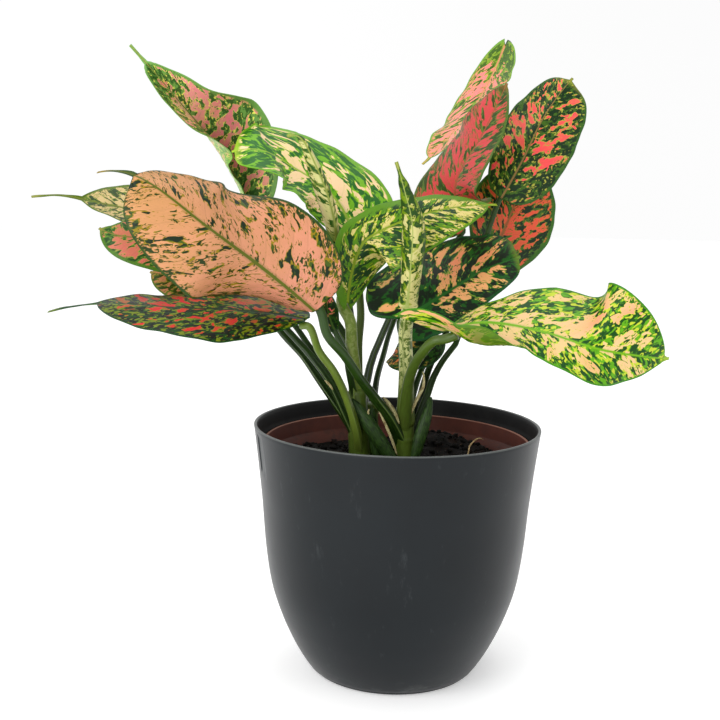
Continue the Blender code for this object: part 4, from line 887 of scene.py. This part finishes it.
def sheet_faces(rows, columns, start=0, flip=False):
    """Faces of a thin closed sheet: its first grid of points, the second grid, and the rim."""
    count = rows * columns
    faces = [*grid_faces(rows, columns, start, flip),
             *grid_faces(rows, columns, start + count, not flip)]
    rim = [*range(columns), *range(2 * columns - 1, count, columns),
           *range(count - 2, count - columns - 1, -1), *range(count - 2 * columns, 0, -columns)]
    for a, b in zip(rim, rim[1:] + rim[:1]):
        a, b = (start + b, start + a) if flip else (start + a, start + b)
        faces.append((a, b, b + count, a + count))
    return faces


def ring_faces(rows, sides, start=0, flip=False):
    """Quads between closed rings of points."""
    i, j = np.meshgrid(np.arange(rows - 1), np.arange(sides), indexing="ij")
    a, b = start + i * sides + j, start + i * sides + (j + 1) % sides
    quads = np.stack([a, b, b + sides, a + sides], -1).reshape(-1, 4)
    return [*(quads[:, [0, 3, 2, 1]] if flip else quads)]


def tube_faces(rows, sides, start=0, flip=False):
    """Faces of a closed tube: quads between its rings of points, then its two caps."""
    first = range(start, start + sides)
    last = range(start + (rows - 1) * sides, start + rows * sides)
    caps = [first, last[::-1]] if flip else [first[::-1], last]
    return ring_faces(rows, sides, start, flip) + caps


def put(obj, slot, *nodes):
    """Makes a piece ride on the object, and hides the imported nodes that it stands for. slot is not
    used.
    """
    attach(obj, "root")
    if nodes:
        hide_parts(*nodes)


# Leaves


def blade_skin(leaf, skin, along, across):
    """What the leaf's shader reads at points of the blade: see skin_group."""
    length = run_along(leaf["midrib"])[-1]
    cover_base, cover_tip = skin["patches"][:2]
    lean_base, lean_tip = skin["edges"][3:]

    def place(a, c):
        value = by_half(leaf, c)
        width = half_width(leaf, a, value("half")) + value("furl_width") * furled_share(a)
        outward = np.abs(c) * width
        lean = lean_base + (lean_tip - lean_base) * a
        return a * length - lean * outward, np.sign(c) * outward, (1 - np.abs(c)) * width

    def spotted(spots, size):
        total = 0
        for a, c, small, long, strength in spots:
            spot_phase, spot_y, _ = place(np.array([a]), np.array([c]))
            away = ((phase - spot_phase) / small) ** 2 + ((y - spot_y) / long) ** 2
            total = total + strength * np.exp(-away / size**2)
        return total

    phase, y, edge = place(along, across)
    edge = np.minimum(edge, (1 - along) * length)
    tone = cover_base + (cover_tip - cover_base) * along + spotted(skin.get("spots", ()), SPOT_SIZE)
    tint = np.clip(spotted(skin["tints"], 1) if "tints" in skin else along, 0, 1)
    return np.stack([phase, y, edge], -1), np.stack([tone, tint, along], -1)


def blade_relief(leaf, marks, along, across, number):
    """Height in mm of the upper side over the plain blade, and thickness in mm below it."""
    phase, y, edge = marks.T
    inside = np.clip(edge / VEIN_FADE[0], 0, 1) * np.clip(np.abs(y) / VEIN_FADE[1], 0, 1)
    quilt = -VEIN_DEPTH * np.clip(np.cos(2 * math.pi * phase / VEIN_SPACE), 0, 1) ** 4 * inside
    groove = -RIB_DEPTH * np.exp(-((y / RIB_WIDTH) ** 2)) * (1 - RIB_TAPER * along)
    turn = 2 * math.pi * (along * WAVES + number * WAVE_SHIFT)
    wave = np.sin(turn + np.sign(across) * 0.9) + 0.4 * np.sin(2.3 * turn + 1)
    high = 0 if leaf.get("rolled") else WAVE_HEIGHT * max(leaf["half"]) / WAVE_SIZE
    wave = wave * high * np.abs(across) ** 3 * np.sin(math.pi * along) ** 0.5
    keel = KEEL_HEIGHT * np.exp(-((y / KEEL_WIDTH) ** 2)) * (1 - KEEL_TAPER * along)
    thick = LEAF_EDGE + (LEAF_THICK - LEAF_EDGE) * np.clip(edge / EDGE_FADE, 0, 1) + keel
    return quilt + groove + wave, thick


def make_leaf(name, number, group):
    """A blade as a thin closed sheet, with its own noise seed."""
    leaf, skin = LEAVES[name], SKINS[name]
    rows = int(np.clip(run_along(leaf["midrib"])[-1] * ROWS_PER_MM, *LEAF_ROWS))
    columns = 2 * int(np.clip(max(leaf["half"]) * COLUMNS_PER_MM, *HALF_COLUMNS)) + 1
    along, across = np.linspace(0, 1, rows), np.linspace(-1, 1, columns)
    along = along + ((1 - np.cos(math.pi * along)) / 2 - along) * ROW_BUNCHING
    across = across + COLUMN_BUNCHING * np.sin(math.pi * across)
    along, across = (grid.ravel() for grid in np.meshgrid(along, across, indexing="ij"))
    plain = blade_points(leaf, along, across)
    grid = plain.reshape(rows, columns, 3)
    normal = unit(np.cross(np.gradient(grid, axis=1), np.gradient(grid, axis=0))).reshape(-1, 3)
    marks, tones = blade_skin(leaf, skin, along, across)
    relief, thick = blade_relief(leaf, marks, along, across, number)
    top = plain + normal * relief[:, None]
    bottom = top - normal * thick[:, None]
    sides = ("upper",) if leaf.get("rolled") else ("upper", "under")
    materials = [leaf_material(name, skin, group, SEED + 3.7 * number, side) for side in sides]
    points = np.concatenate([top, bottom])
    obj = mesh_object(name + "_blade", points, sheet_faces(rows, columns), *materials)
    under = np.zeros(len(obj.data.polygons), np.int32)
    quads = (rows - 1) * (columns - 1)
    under[quads:2 * quads] = len(sides) - 1
    obj.data.polygons.foreach_set("material_index", under)
    set_attribute(obj, "skin", np.tile(marks, (2, 1)))
    set_attribute(obj, "tone", np.tile(tones, (2, 1)))
    set_uv(obj, "Blade", np.tile(along, 2), np.tile((across + 1) / 2, 2))
    put(obj, "leaf_" + leaf["colour"], name)


# Stems, petioles and sheaths


def stem_line(shoot):
    foot, top, _, _ = STEMS[shoot]
    return np.array([*foot, SOIL_TOP - STEM_FOOT], float), np.array(top, float)


def petiole_route(name):
    """Points from a petiole's root in its stem to its end under the blade, and the blade's up."""
    shoot, root_height, through, _, end_radius, below = PETIOLES[name]
    leaf = LEAVES[name]
    along = np.array([0.0, PETIOLE_KEEL / run_along(leaf["midrib"])[-1]])
    (base, keel), (forward, _), _, (up, keel_up) = frame_at(leaf, along)
    drop = BLADE_THICKNESS - below - end_radius if leaf.get("rolled") else end_radius + below
    foot, top = stem_line(shoot)
    root = foot + (top - foot) * (root_height - foot[2]) / (top[2] - foot[2])
    corners = [root, *through, base - forward * PETIOLE_RUN_UP - up * drop, keel - keel_up * drop]
    return smooth(corners, 1 - np.linspace(1, 0, PETIOLE_ROWS) ** PETIOLE_BUNCHING), up


def sweep(route, radii, up, sides, groove=0.0, wings=0.0):
    """Rings of a stalk along route. up is the way its grooved side looks at the end. groove and
    wings are depths at each ring, as shares of the radius. Returns points and (length, turn, wing)
    marks."""
    groove, wings = (np.broadcast_to(item, len(route))[:, None] for item in (groove, wings))
    forward = unit(np.gradient(route, axis=0))
    side_up = np.empty_like(route)
    for i in range(len(route) - 1, -1, -1):
        up = unit(up - forward[i] * (up @ forward[i]))
        side_up[i] = up
    right = np.cross(forward, side_up)
    turn = np.linspace(-math.pi, math.pi, sides, endpoint=False)
    cut = np.exp(-((turn / GROOVE_WIDTH) ** 2))
    wing = wings * np.exp(-(((np.abs(turn) - WING_TURN) / WING_WIDTH) ** 2))
    reach = radii[:, None] * (1 - groove * cut + wing)
    points = (route[:, None] + right[:, None] * (reach * np.sin(turn))[..., None]
              + side_up[:, None] * (reach * np.cos(turn))[..., None])
    marks = np.broadcast_arrays(run_along(route)[:, None], radii[:, None] * turn, wing)
    return points.reshape(-1, 3), np.stack(marks, -1).reshape(-1, 3)


def make_shoot(shoot, finish):
    """A stem and its petioles as one piece."""
    foot, top = stem_line(shoot)
    _, _, foot_radius, top_radius = STEMS[shoot]
    share = np.linspace(0, 1, STEM_ROWS)
    run = share * np.linalg.norm(top - foot)
    scar = np.exp(-((((run % SCAR_SPACE) - SCAR_START) / SCAR_WIDTH) ** 2))
    radii = (foot_radius + (top_radius - foot_radius) * share) * (1 + SCAR_HEIGHT * scar)
    radii[-3:] *= STEM_END
    route = foot + (top - foot) * share[:, None]
    parts = [(*sweep(route, radii, np.array([0.0, -1, 0]), STALK_SIDES), [STEM_TINT] * STEM_ROWS)]
    for name, (owner, _, _, root_radius, end_radius, _) in PETIOLES.items():
        if owner != shoot:
            continue
        route, up = petiole_route(name)
        run = np.linalg.norm(route - route[0], axis=1)
        radii = end_radius + (root_radius - end_radius) * np.exp(-run / SHEATH)
        radii = radii * PETIOLE_SLIM.get(name, 1)
        radii[-1] *= PETIOLE_TIP
        sheath = np.clip((run[-1] * WING_SHARE - run) / WING_FADE, 0, 1)
        groove, wings = (least + more * sheath for least, more in (GROOVE_DEPTH, WING_HEIGHT))
        groove[-3:] = wings[-3:] = 0
        tints = [(*PETIOLE_TINTS.get(name, (0, 0)), share) for share in run / run[-1]]
        parts.append((*sweep(route, radii, up, STALK_SIDES, groove, wings), tints))
    points, marks, tints = zip(*parts)
    faces, count = [], 0
    for rings in tints:
        faces += tube_faces(len(rings), STALK_SIDES, count)
        count += len(rings) * STALK_SIDES
    obj = mesh_object(shoot + "_stalks", np.concatenate(points), faces, finish)
    set_attribute(obj, "stalk", np.concatenate(marks))
    set_attribute(obj, "stalk_tint", np.repeat(np.concatenate(tints), STALK_SIDES, axis=0))
    put(obj, "petiole_green", shoot)


def stalk_material():
    """Glossy green with fine lengthwise streaks and pale sheath edges."""
    t = Material("stalk_skin")
    run, around, wing = t.split(t.attribute("stalk"))
    pale, marbled, share = t.split(t.attribute("stalk_tint"))
    streak = t.noise(t.combine(run * 0.12, around, pale), 1.4, 3.0, 0.6)
    spots = t.noise(t.combine(run, around, 4.0), 0.35, 3.0, 0.6, 0.8)
    blotch = t.noise(t.combine(run, around, 9.0), 0.22, 3.0)
    colour = t.painted(
        (11, 23, 5),
        (t.step(streak, 0.3, 0.7), (32, 56, 11)),
        (share * 0.35, (54, 90, 20)),
        (pale, (160, 184, 70)),
        (marbled * t.step(share, 0.15, 0.6) * t.step(spots, 0.47, 0.53), (206, 206, 140)),
        (t.step(wing, 0.1, 0.17) * 0.45, (120, 144, 70)),
        (t.step(blotch, 0.55, 0.75) * 0.25, (30, 44, 16)))
    return t.finish(colour, 0.34, 0.3, streak, strength=0.25, distance=0.2)


def sheath_material():
    """Dry, papery sheath where "paper" is 1, and dark green where it is 0."""
    t = Material("sheath_skin")
    run, across, _ = t.split(t.attribute("strip_place"))
    paper = t.attribute("paper", "Fac")
    fibre = t.noise(t.combine(run * 0.25, across * 2.2, paper), 1.3, 3.0, 0.6)
    green = t.painted((18, 36, 10), (t.step(fibre, 0.35, 0.7), (52, 82, 26)))
    dark = t.step(t.noise(t.combine(run, across, 3.0), 0.5, 2.0), 0.55, 0.7)
    dry = t.painted(
        (150, 130, 84),
        (t.step(fibre, 0.3, 0.7), (202, 196, 146)),
        (dark * 0.6, (92, 66, 40)))
    return t.finish(t.mix(paper, green, dry), 0.5, 0.25, fibre, strength=0.3, distance=0.2)


def make_sheaths():
    """Thin cupped strips at the foot of the petioles: old leaf sheaths, dry or green."""
    rows, columns = 18, 7
    number = rows * columns
    share = np.linspace(0, 1, rows)
    across = np.linspace(-1, 1, columns)
    points, faces, places, papers = [], [], [], []
    for corners, half, paper in SHEATHS:
        line = smooth(corners, share)
        forward = unit(np.gradient(line, axis=0))
        right = unit(np.cross(forward, np.array([0.0, -1, 0])))
        up = np.cross(right, forward)[:, None]
        reach = (half * np.sin(math.pi * (0.04 + 0.92 * share)) ** 0.6)[:, None]
        grid = (line[:, None] + right[:, None] * (reach * across)[..., None]
                - up * (SHEATH_CUP * reach * across**2)[..., None])
        faces += sheet_faces(rows, columns, len(points) * number, flip=True)
        points += [grid.reshape(-1, 3), (grid - up * SHEATH_THICK).reshape(-1, 3)]
        run = np.repeat(run_along(line), columns)
        places += [np.stack([run, (reach * across).ravel(), np.zeros(number)], -1)] * 2
        papers.append(np.full(2 * number, paper))
    obj = mesh_object("old_sheaths", np.concatenate(points), faces, sheath_material())
    set_attribute(obj, "strip_place", np.concatenate(places))
    set_attribute(obj, "paper", np.concatenate(papers))
    put(obj, "petiole_green")


# Pots


def turned(profile, angles):
    """Points of a surface of revolution. profile: (radius, height), up the inner side first."""
    profile = np.asarray(profile, float)
    points = np.empty((len(profile), len(angles), 3))
    points[..., :2] = profile[:, None, :1] * np.stack([np.cos(angles), np.sin(angles)], -1)
    points[..., 2] = profile[:, None, 1]
    return points


def cover_material():
    """Dark grey plastic with faint dust, a worn foot, a paler moulded strip and a painted highlight
    on the lip.
    """
    t = Material("cover_plastic_skin")
    place = t.place()
    height = t.split(place)[2]
    dust = t.noise(t.scaled(place, (1, 1, 0.35)), 180.0, 4.0, 0.7)
    scuff = t.noise(t.scaled(place, (1, 1, 3)), 60.0, 4.0, 0.7)
    colour = t.painted(
        (8, 14, 18),
        (t.step(t.noise(place, 22.0, 3.0, 0.55), 0.3, 0.7), (11, 18, 22)),
        (t.step(dust, 0.6, 0.85) * 0.12, (120, 126, 128)),
        (t.attribute("strip", "Fac") * t.step(dust, 0.3, 0.6), (34, 40, 42)),
        # Painted highlight: a paler band along the top of the lip, where the edge catches light
        (t.step(height, COVER_LIP_HIGHLIGHT * MM, (COVER_LIP_HIGHLIGHT + 0.6) * MM) * 0.6, (104, 108, 106)),
        (t.step(height, 12 * MM, 0.0) * t.step(scuff, 0.5, 0.7) * 0.3, (110, 112, 110)))
    rough = t.node("ShaderNodeMapRange", {
        "Value": t.noise(place, 40.0, 3.0, 0.6), "To Min": 0.3, "To Max": 0.42})
    fine = t.noise(place, 2600.0, 2.0, 0.6)
    return t.finish(colour, rough, 0.24, fine, strength=0.12, distance=0.06)


def grained_material(name, dark, light, grain, ends, roughness, specular, strength, distance):
    """Two colours in a fine grain, which is the bump too. grain: as Tree.noise takes it."""
    t = Material(name)
    grain = t.noise(t.place(), *grain)
    colour = t.painted(dark, (t.step(grain, *ends), light))
    return t.finish(colour, roughness, specular, grain, strength, distance)


def make_cover_pot():
    """The cover pot with a rounded lip, a step inside its rim and a shallow moulded strip."""
    outer = smooth(COVER_PROFILE, np.linspace(0, 1, COVER_ROWS))
    inner = outer[outer[:, 1] > 2 * COVER_FLOOR] - [COVER_WALL, 0]
    step = np.clip((inner[:, 1] - COVER_STEP) / 0.8, 0, 1)
    inner[:, 0] += 0.7 * step - 0.3 * (1 - step)
    rim_radius, rim = outer[-1]
    lip = [(rim_radius - inward, rim - down) for inward, down in (
        (1.45, 0.35), (1.2, 0.08), (0.9, 0), (0.35, 0), (0.08, 0.12), (0, 0.4))]
    foot = [(outer[0, 0] - inward, high) for inward, high in ((0, 0.9), (0.25, 0.3), (0.8, 0))]
    inside = [(0.01, COVER_FLOOR), (inner[0, 0] - COVER_WALL, COVER_FLOOR), *inner[:-1]]
    profile = [*inside, *lip, *outer[-2:0:-1], *foot, (38, 0), (37.5, 0.8), (0.01, 0.8)]
    middle = math.radians(STRIP_ANGLE)
    angles = np.concatenate([np.linspace(0, 2 * math.pi, COVER_SIDES, endpoint=False),
                             middle + np.linspace(-STRIP_TURN, STRIP_TURN, STRIP_COLUMNS)])
    angles = np.unique(np.round(angles % (2 * math.pi), 5))
    points = turned(profile, angles)
    # The strip: a shallow rounded groove
    radius = np.linalg.norm(points[..., :2], axis=-1)
    off = (np.arctan2(points[..., 1], points[..., 0]) - middle + math.pi) % (2 * math.pi) - math.pi
    across = np.abs(off * radius) / (STRIP_WIDTH / 2)
    up = np.abs(points[..., 2] - STRIP_MIDDLE) / (STRIP_LENGTH / 2)
    depth = STRIP_DEPTH * np.clip((1 - np.maximum(across, up)) / STRIP_EDGE, 0, 1)
    depth[:len(inside) + len(lip)] = 0
    points[..., :2] *= (1 - depth / np.maximum(radius, 1))[..., None]
    rows, sides = points.shape[:2]
    dark = grained_material(
        "cover_inside_skin", (5, 6, 7), (20, 20, 19), (120.0, 4.0, 0.7), (0.4, 0.8),
        roughness=0.5, specular=0.25, strength=0.1, distance=0.05)
    obj = mesh_object("cover_pot_shell", points.reshape(-1, 3), tube_faces(rows, sides, flip=True),
                      cover_material(), dark)
    set_attribute(obj, "strip", (depth > 0.9 * STRIP_DEPTH).astype(float).ravel())
    within = np.zeros(len(obj.data.polygons), np.int32)
    within[:len(inside) * sides] = 1
    within[(rows - 1) * sides] = 1
    obj.data.polygons.foreach_set("material_index", within)
    put(obj, "cover_plastic", "cover_pot")


def nursery_material():
    """Brown plastic with soil on it below the rim, and a painted highlight along the top of the rim.
    """
    t = Material("nursery_plastic_skin")
    place = t.place()
    height = t.split(place)[2]
    drops = t.noise(place, 160.0, 4.0, 0.7)
    # Heights of the rim's top edge, which a painted highlight lightens
    rim = (NURSERY_HEIGHT - 0.6) * MM, (NURSERY_HEIGHT - 0.1) * MM
    colour = t.painted(
        (74, 28, 15),
        (t.step(t.noise(place, 45.0, 4.0, 0.6), 0.3, 0.7), (92, 38, 22)),
        (t.step(drops, 0.48, 0.62) * t.step(height, 113 * MM, 100 * MM) * 0.6, (36, 22, 16)),
        # Painted highlight: a paler band along the top of the rim
        (t.step(height, *rim) * 0.6, (168, 116, 96)))
    return t.finish(colour, 0.5, 0.3, drops, strength=0.2, distance=0.1)


def make_nursery_pot():
    top, radius, bottom = NURSERY_HEIGHT, NURSERY_RIM_RADIUS, NURSERY_BOTTOM
    band, floor = top - NURSERY_BAND, bottom + NURSERY_FLOOR
    wall = [(NURSERY_BASE_RADIUS + (radius - NURSERY_STEP - NURSERY_BASE_RADIUS) * s,
             bottom + (band - bottom) * s) for s in np.linspace(0, 1, 14)]
    inside = [(r - NURSERY_WALL, z) for r, z in wall if z > bottom + 2]
    rim_in = radius - NURSERY_WALL
    profile = [
        (0.01, floor), (inside[0][0] - 1, floor), *inside,
        (rim_in - 0.2, band + NURSERY_STEP - 0.4), (rim_in, band + NURSERY_STEP),
        (rim_in, top - 0.4), (rim_in + 0.15, top - 0.1), (rim_in + 0.4, top),
        (radius - 0.4, top), (radius - 0.1, top - 0.1), (radius, top - 0.4),
        (radius, band + 0.3), (radius - 0.3, band), (radius - NURSERY_STEP, band),
        *wall[-2::-1], (0.01, bottom)]
    points = turned(profile, np.linspace(0, 2 * math.pi, 120, endpoint=False))
    faces = tube_faces(*points.shape[:2], flip=True)
    obj = mesh_object("nursery_pot_shell", points.reshape(-1, 3), faces, nursery_material())
    put(obj, "nursery_plastic", "nursery_pot")


# Soil


def soil_material():
    """Nearly black peat with brown clods and small pale bits."""
    t = Material("soil_skin")
    place = t.place()
    grit = t.noise(place, 420.0, 5.0, 0.7)
    colour = t.painted(
        (5, 5, 4),
        (t.step(grit, 0.3, 0.7), (18, 15, 12)),
        (t.step(t.noise(place, 90.0, 3.0, 0.6), 0.5, 0.7) * 0.6, (34, 20, 14)),
        (t.step(t.noise(place, 900.0, 2.0, 0.6), 0.68, 0.74), (74, 54, 38)))
    return t.finish(colour, 0.95, 0.15, grit, strength=0.8, distance=0.6)


def soil_height(x, y):
    """Height of the soil's top."""
    spread = min(1, math.hypot(x, y) / SOIL_RADIUS)
    height = SOIL_TOP + SOIL_MOUND * (1 - spread**2)
    height += noise.fractal(Vector((x, y, 0)) / SOIL_CLUMP, *SOIL_FRACTAL) * SOIL_BUMP
    height += sum(noise.noise(Vector((x, y, z)) / size) * high for z, size, high in SOIL_CLODS)
    return height + sum(high * math.exp(-((x - a) ** 2 + (y - b) ** 2) / wide**2)
                        for a, b, wide, high in SOIL_HEAPS)


def make_soil(finish):
    """A fan and rings of the bumpy top, then a ring and a floor at the bottom."""
    rings, sides = SOIL_RINGS, SOIL_SIDES
    points = [(0, 0, soil_height(0, 0))]
    for i in range(1, rings):
        radius = SOIL_RADIUS * (i / (rings - 1)) ** SOIL_BUNCHING
        for j in range(sides):
            angle = 2 * math.pi * (j + 0.5 * (i % 2)) / sides
            x, y = radius * math.cos(angle), radius * math.sin(angle)
            points.append((x, y, SOIL_TOP if i == rings - 1 else soil_height(x, y)))
    shrink = SOIL_FOOT / SOIL_RADIUS
    points += [(x * shrink, y * shrink, SOIL_BOTTOM) for x, y, _ in points[-sides:]]
    faces = [(0, 1 + j, 1 + (j + 1) % sides) for j in range(sides)]
    faces += ring_faces(rings, sides, 1, flip=True)
    faces.append(range(len(points) - 1, len(points) - 1 - sides, -1))
    put(mesh_object("soil_top", points, faces, finish), "potting_soil", "soil")


def clod(rng, centre, size):
    """Points and faces of one irregular crumb."""
    lines, around = 5, 7
    tip = np.array([0, 0, size * CRUMB_FLAT])
    points = [centre - tip]
    for i in range(1, lines):
        polar = math.pi * i / lines
        for j in range(around):
            angle = 2 * math.pi * (j + 0.5 * (i % 2)) / around
            reach = size * (CRUMB_REACH[0] + CRUMB_REACH[1] * rng.random())
            points.append(centre + reach * np.array([
                math.sin(polar) * math.cos(angle), math.sin(polar) * math.sin(angle),
                -math.cos(polar) * CRUMB_FLAT]))
    points.append(centre + tip)
    last = 1 + (lines - 2) * around
    pairs = [(j, (j + 1) % around) for j in range(around)]
    faces = [(0, 1 + b, 1 + a) for a, b in pairs] + ring_faces(lines - 1, around, 1)
    faces += [(last + a, last + b, len(points) - 1) for a, b in pairs]
    return np.array(points), faces


def make_crumbs(finish):
    """Loose crumbs on the soil, clear of the stems."""
    rng = np.random.default_rng(SEED)
    points, faces, count = [], [], 0
    while len(points) < CRUMBS:
        angle = rng.random() * 2 * math.pi
        radius = (SOIL_RADIUS - CRUMB_INSET) * math.sqrt(rng.random())
        x, y = radius * math.cos(angle), radius * math.sin(angle)
        size = CRUMB_SIZE[0] + CRUMB_SIZE[1] * rng.random() ** 3
        if any(math.dist((x, y), foot) <= thick + size * CRUMB_CLEAR
               for foot, _, thick, _ in STEMS.values()):
            continue
        centre = np.array([x, y, soil_height(x, y) + size * CRUMB_SUNK])
        made, made_faces = clod(rng, centre, size)
        points.append(made)
        faces += [[corner + count for corner in face] for face in made_faces]
        count += len(made)
    put(mesh_object("soil_crumbs", np.concatenate(points), faces, finish), "potting_soil")


def make_root_thread():
    """A pale root that lies on the soil."""
    rows, sides = 24, 8
    share = np.linspace(0, 1, rows)
    radii = ROOT_RADIUS * np.sin(math.pi * np.clip(share, 0.06, 0.94)) ** 0.4
    points, _ = sweep(smooth(ROOT_THREAD, share), radii, np.array([0.0, 0, 1]), sides)
    finish = grained_material(
        "root_skin", (120, 96, 60), (186, 160, 112), (700.0, 3.0, 0.6), (0.35, 0.65),
        roughness=0.7, specular=0.5, strength=0.3, distance=0.1)
    put(mesh_object("root_thread", points, tube_faces(rows, sides), finish), "potting_soil")


# Stage


def make_stage():
    """A white floor, a sky that is pale at the horizon, and four soft lamps."""
    far = FLOOR_REACH
    t = Material("floor_white")
    t.fill(t.shader["Emission Color"], (1, 1, 1))
    t.fill(t.shader["Emission Strength"], FLOOR_GLOW)
    floor = mesh_object("floor", [(-far, -far, 0), (far, -far, 0), (far, far, 0), (-far, far, 0)],
                        [(0, 1, 2, 3)], t.finish((0.9, 0.9, 0.9), 0.9, 0.1))
    floor.location.z = -FLOOR_DROP * MM
    world = bpy.data.worlds.new("studio")
    bpy.context.scene.world = world
    world.use_nodes = True
    sky = world.node_tree.nodes["Background"].inputs
    t = Tree(world.node_tree)
    across, behind, above = t.split(t.place("Generated"))
    toward = across * WORLD_RIGHT + (behind * WORLD_BEHIND + WORLD_STRENGTH)
    missing = t.math("MAXIMUM", HORIZON_WHITE - toward, 0.0)
    t.fill(sky["Color"], (1, 1, 1))
    t.fill(sky["Strength"], missing * t.step(above, HORIZON_TOP, 0.0) + toward)
    for name, place, size, power in LAMPS:
        lamp = bpy.data.lights.new(name, "AREA")
        lamp.shape = "RECTANGLE"
        lamp.size, lamp.size_y = size
        lamp.energy = power
        obj = add_object(name, lamp)
        obj.location = place
        obj.rotation_euler = (Vector(LAMP_AIM) - Vector(place)).to_track_quat("-Z", "Y").to_euler()


def make_camera():
    camera = bpy.data.cameras.new("camera")
    camera.lens = CAMERA_LENS
    camera.sensor_width = 36
    camera.clip_start = 0.01
    obj = add_object("camera", camera)
    pitch = Matrix.Rotation(math.radians(90 - CAMERA_PITCH), 4, "X")
    roll = Matrix.Rotation(math.radians(CAMERA_ROLL), 4, "Z")
    obj.matrix_world = Matrix.Translation(CAMERA_PLACE) @ pitch @ roll
    bpy.context.scene.camera = obj


def main():
    bpy.context.scene.view_settings.view_transform = "Standard"
    make_camera()
    make_stage()
    group = skin_group()
    for number, name in enumerate(LEAVES):
        make_leaf(name, number, group)
    stalks = stalk_material()
    for shoot in STEMS:
        make_shoot(shoot, stalks)
    make_sheaths()
    make_cover_pot()
    make_nursery_pot()
    ground = soil_material()
    make_soil(ground)
    make_crumbs(ground)
    make_root_thread()


main()
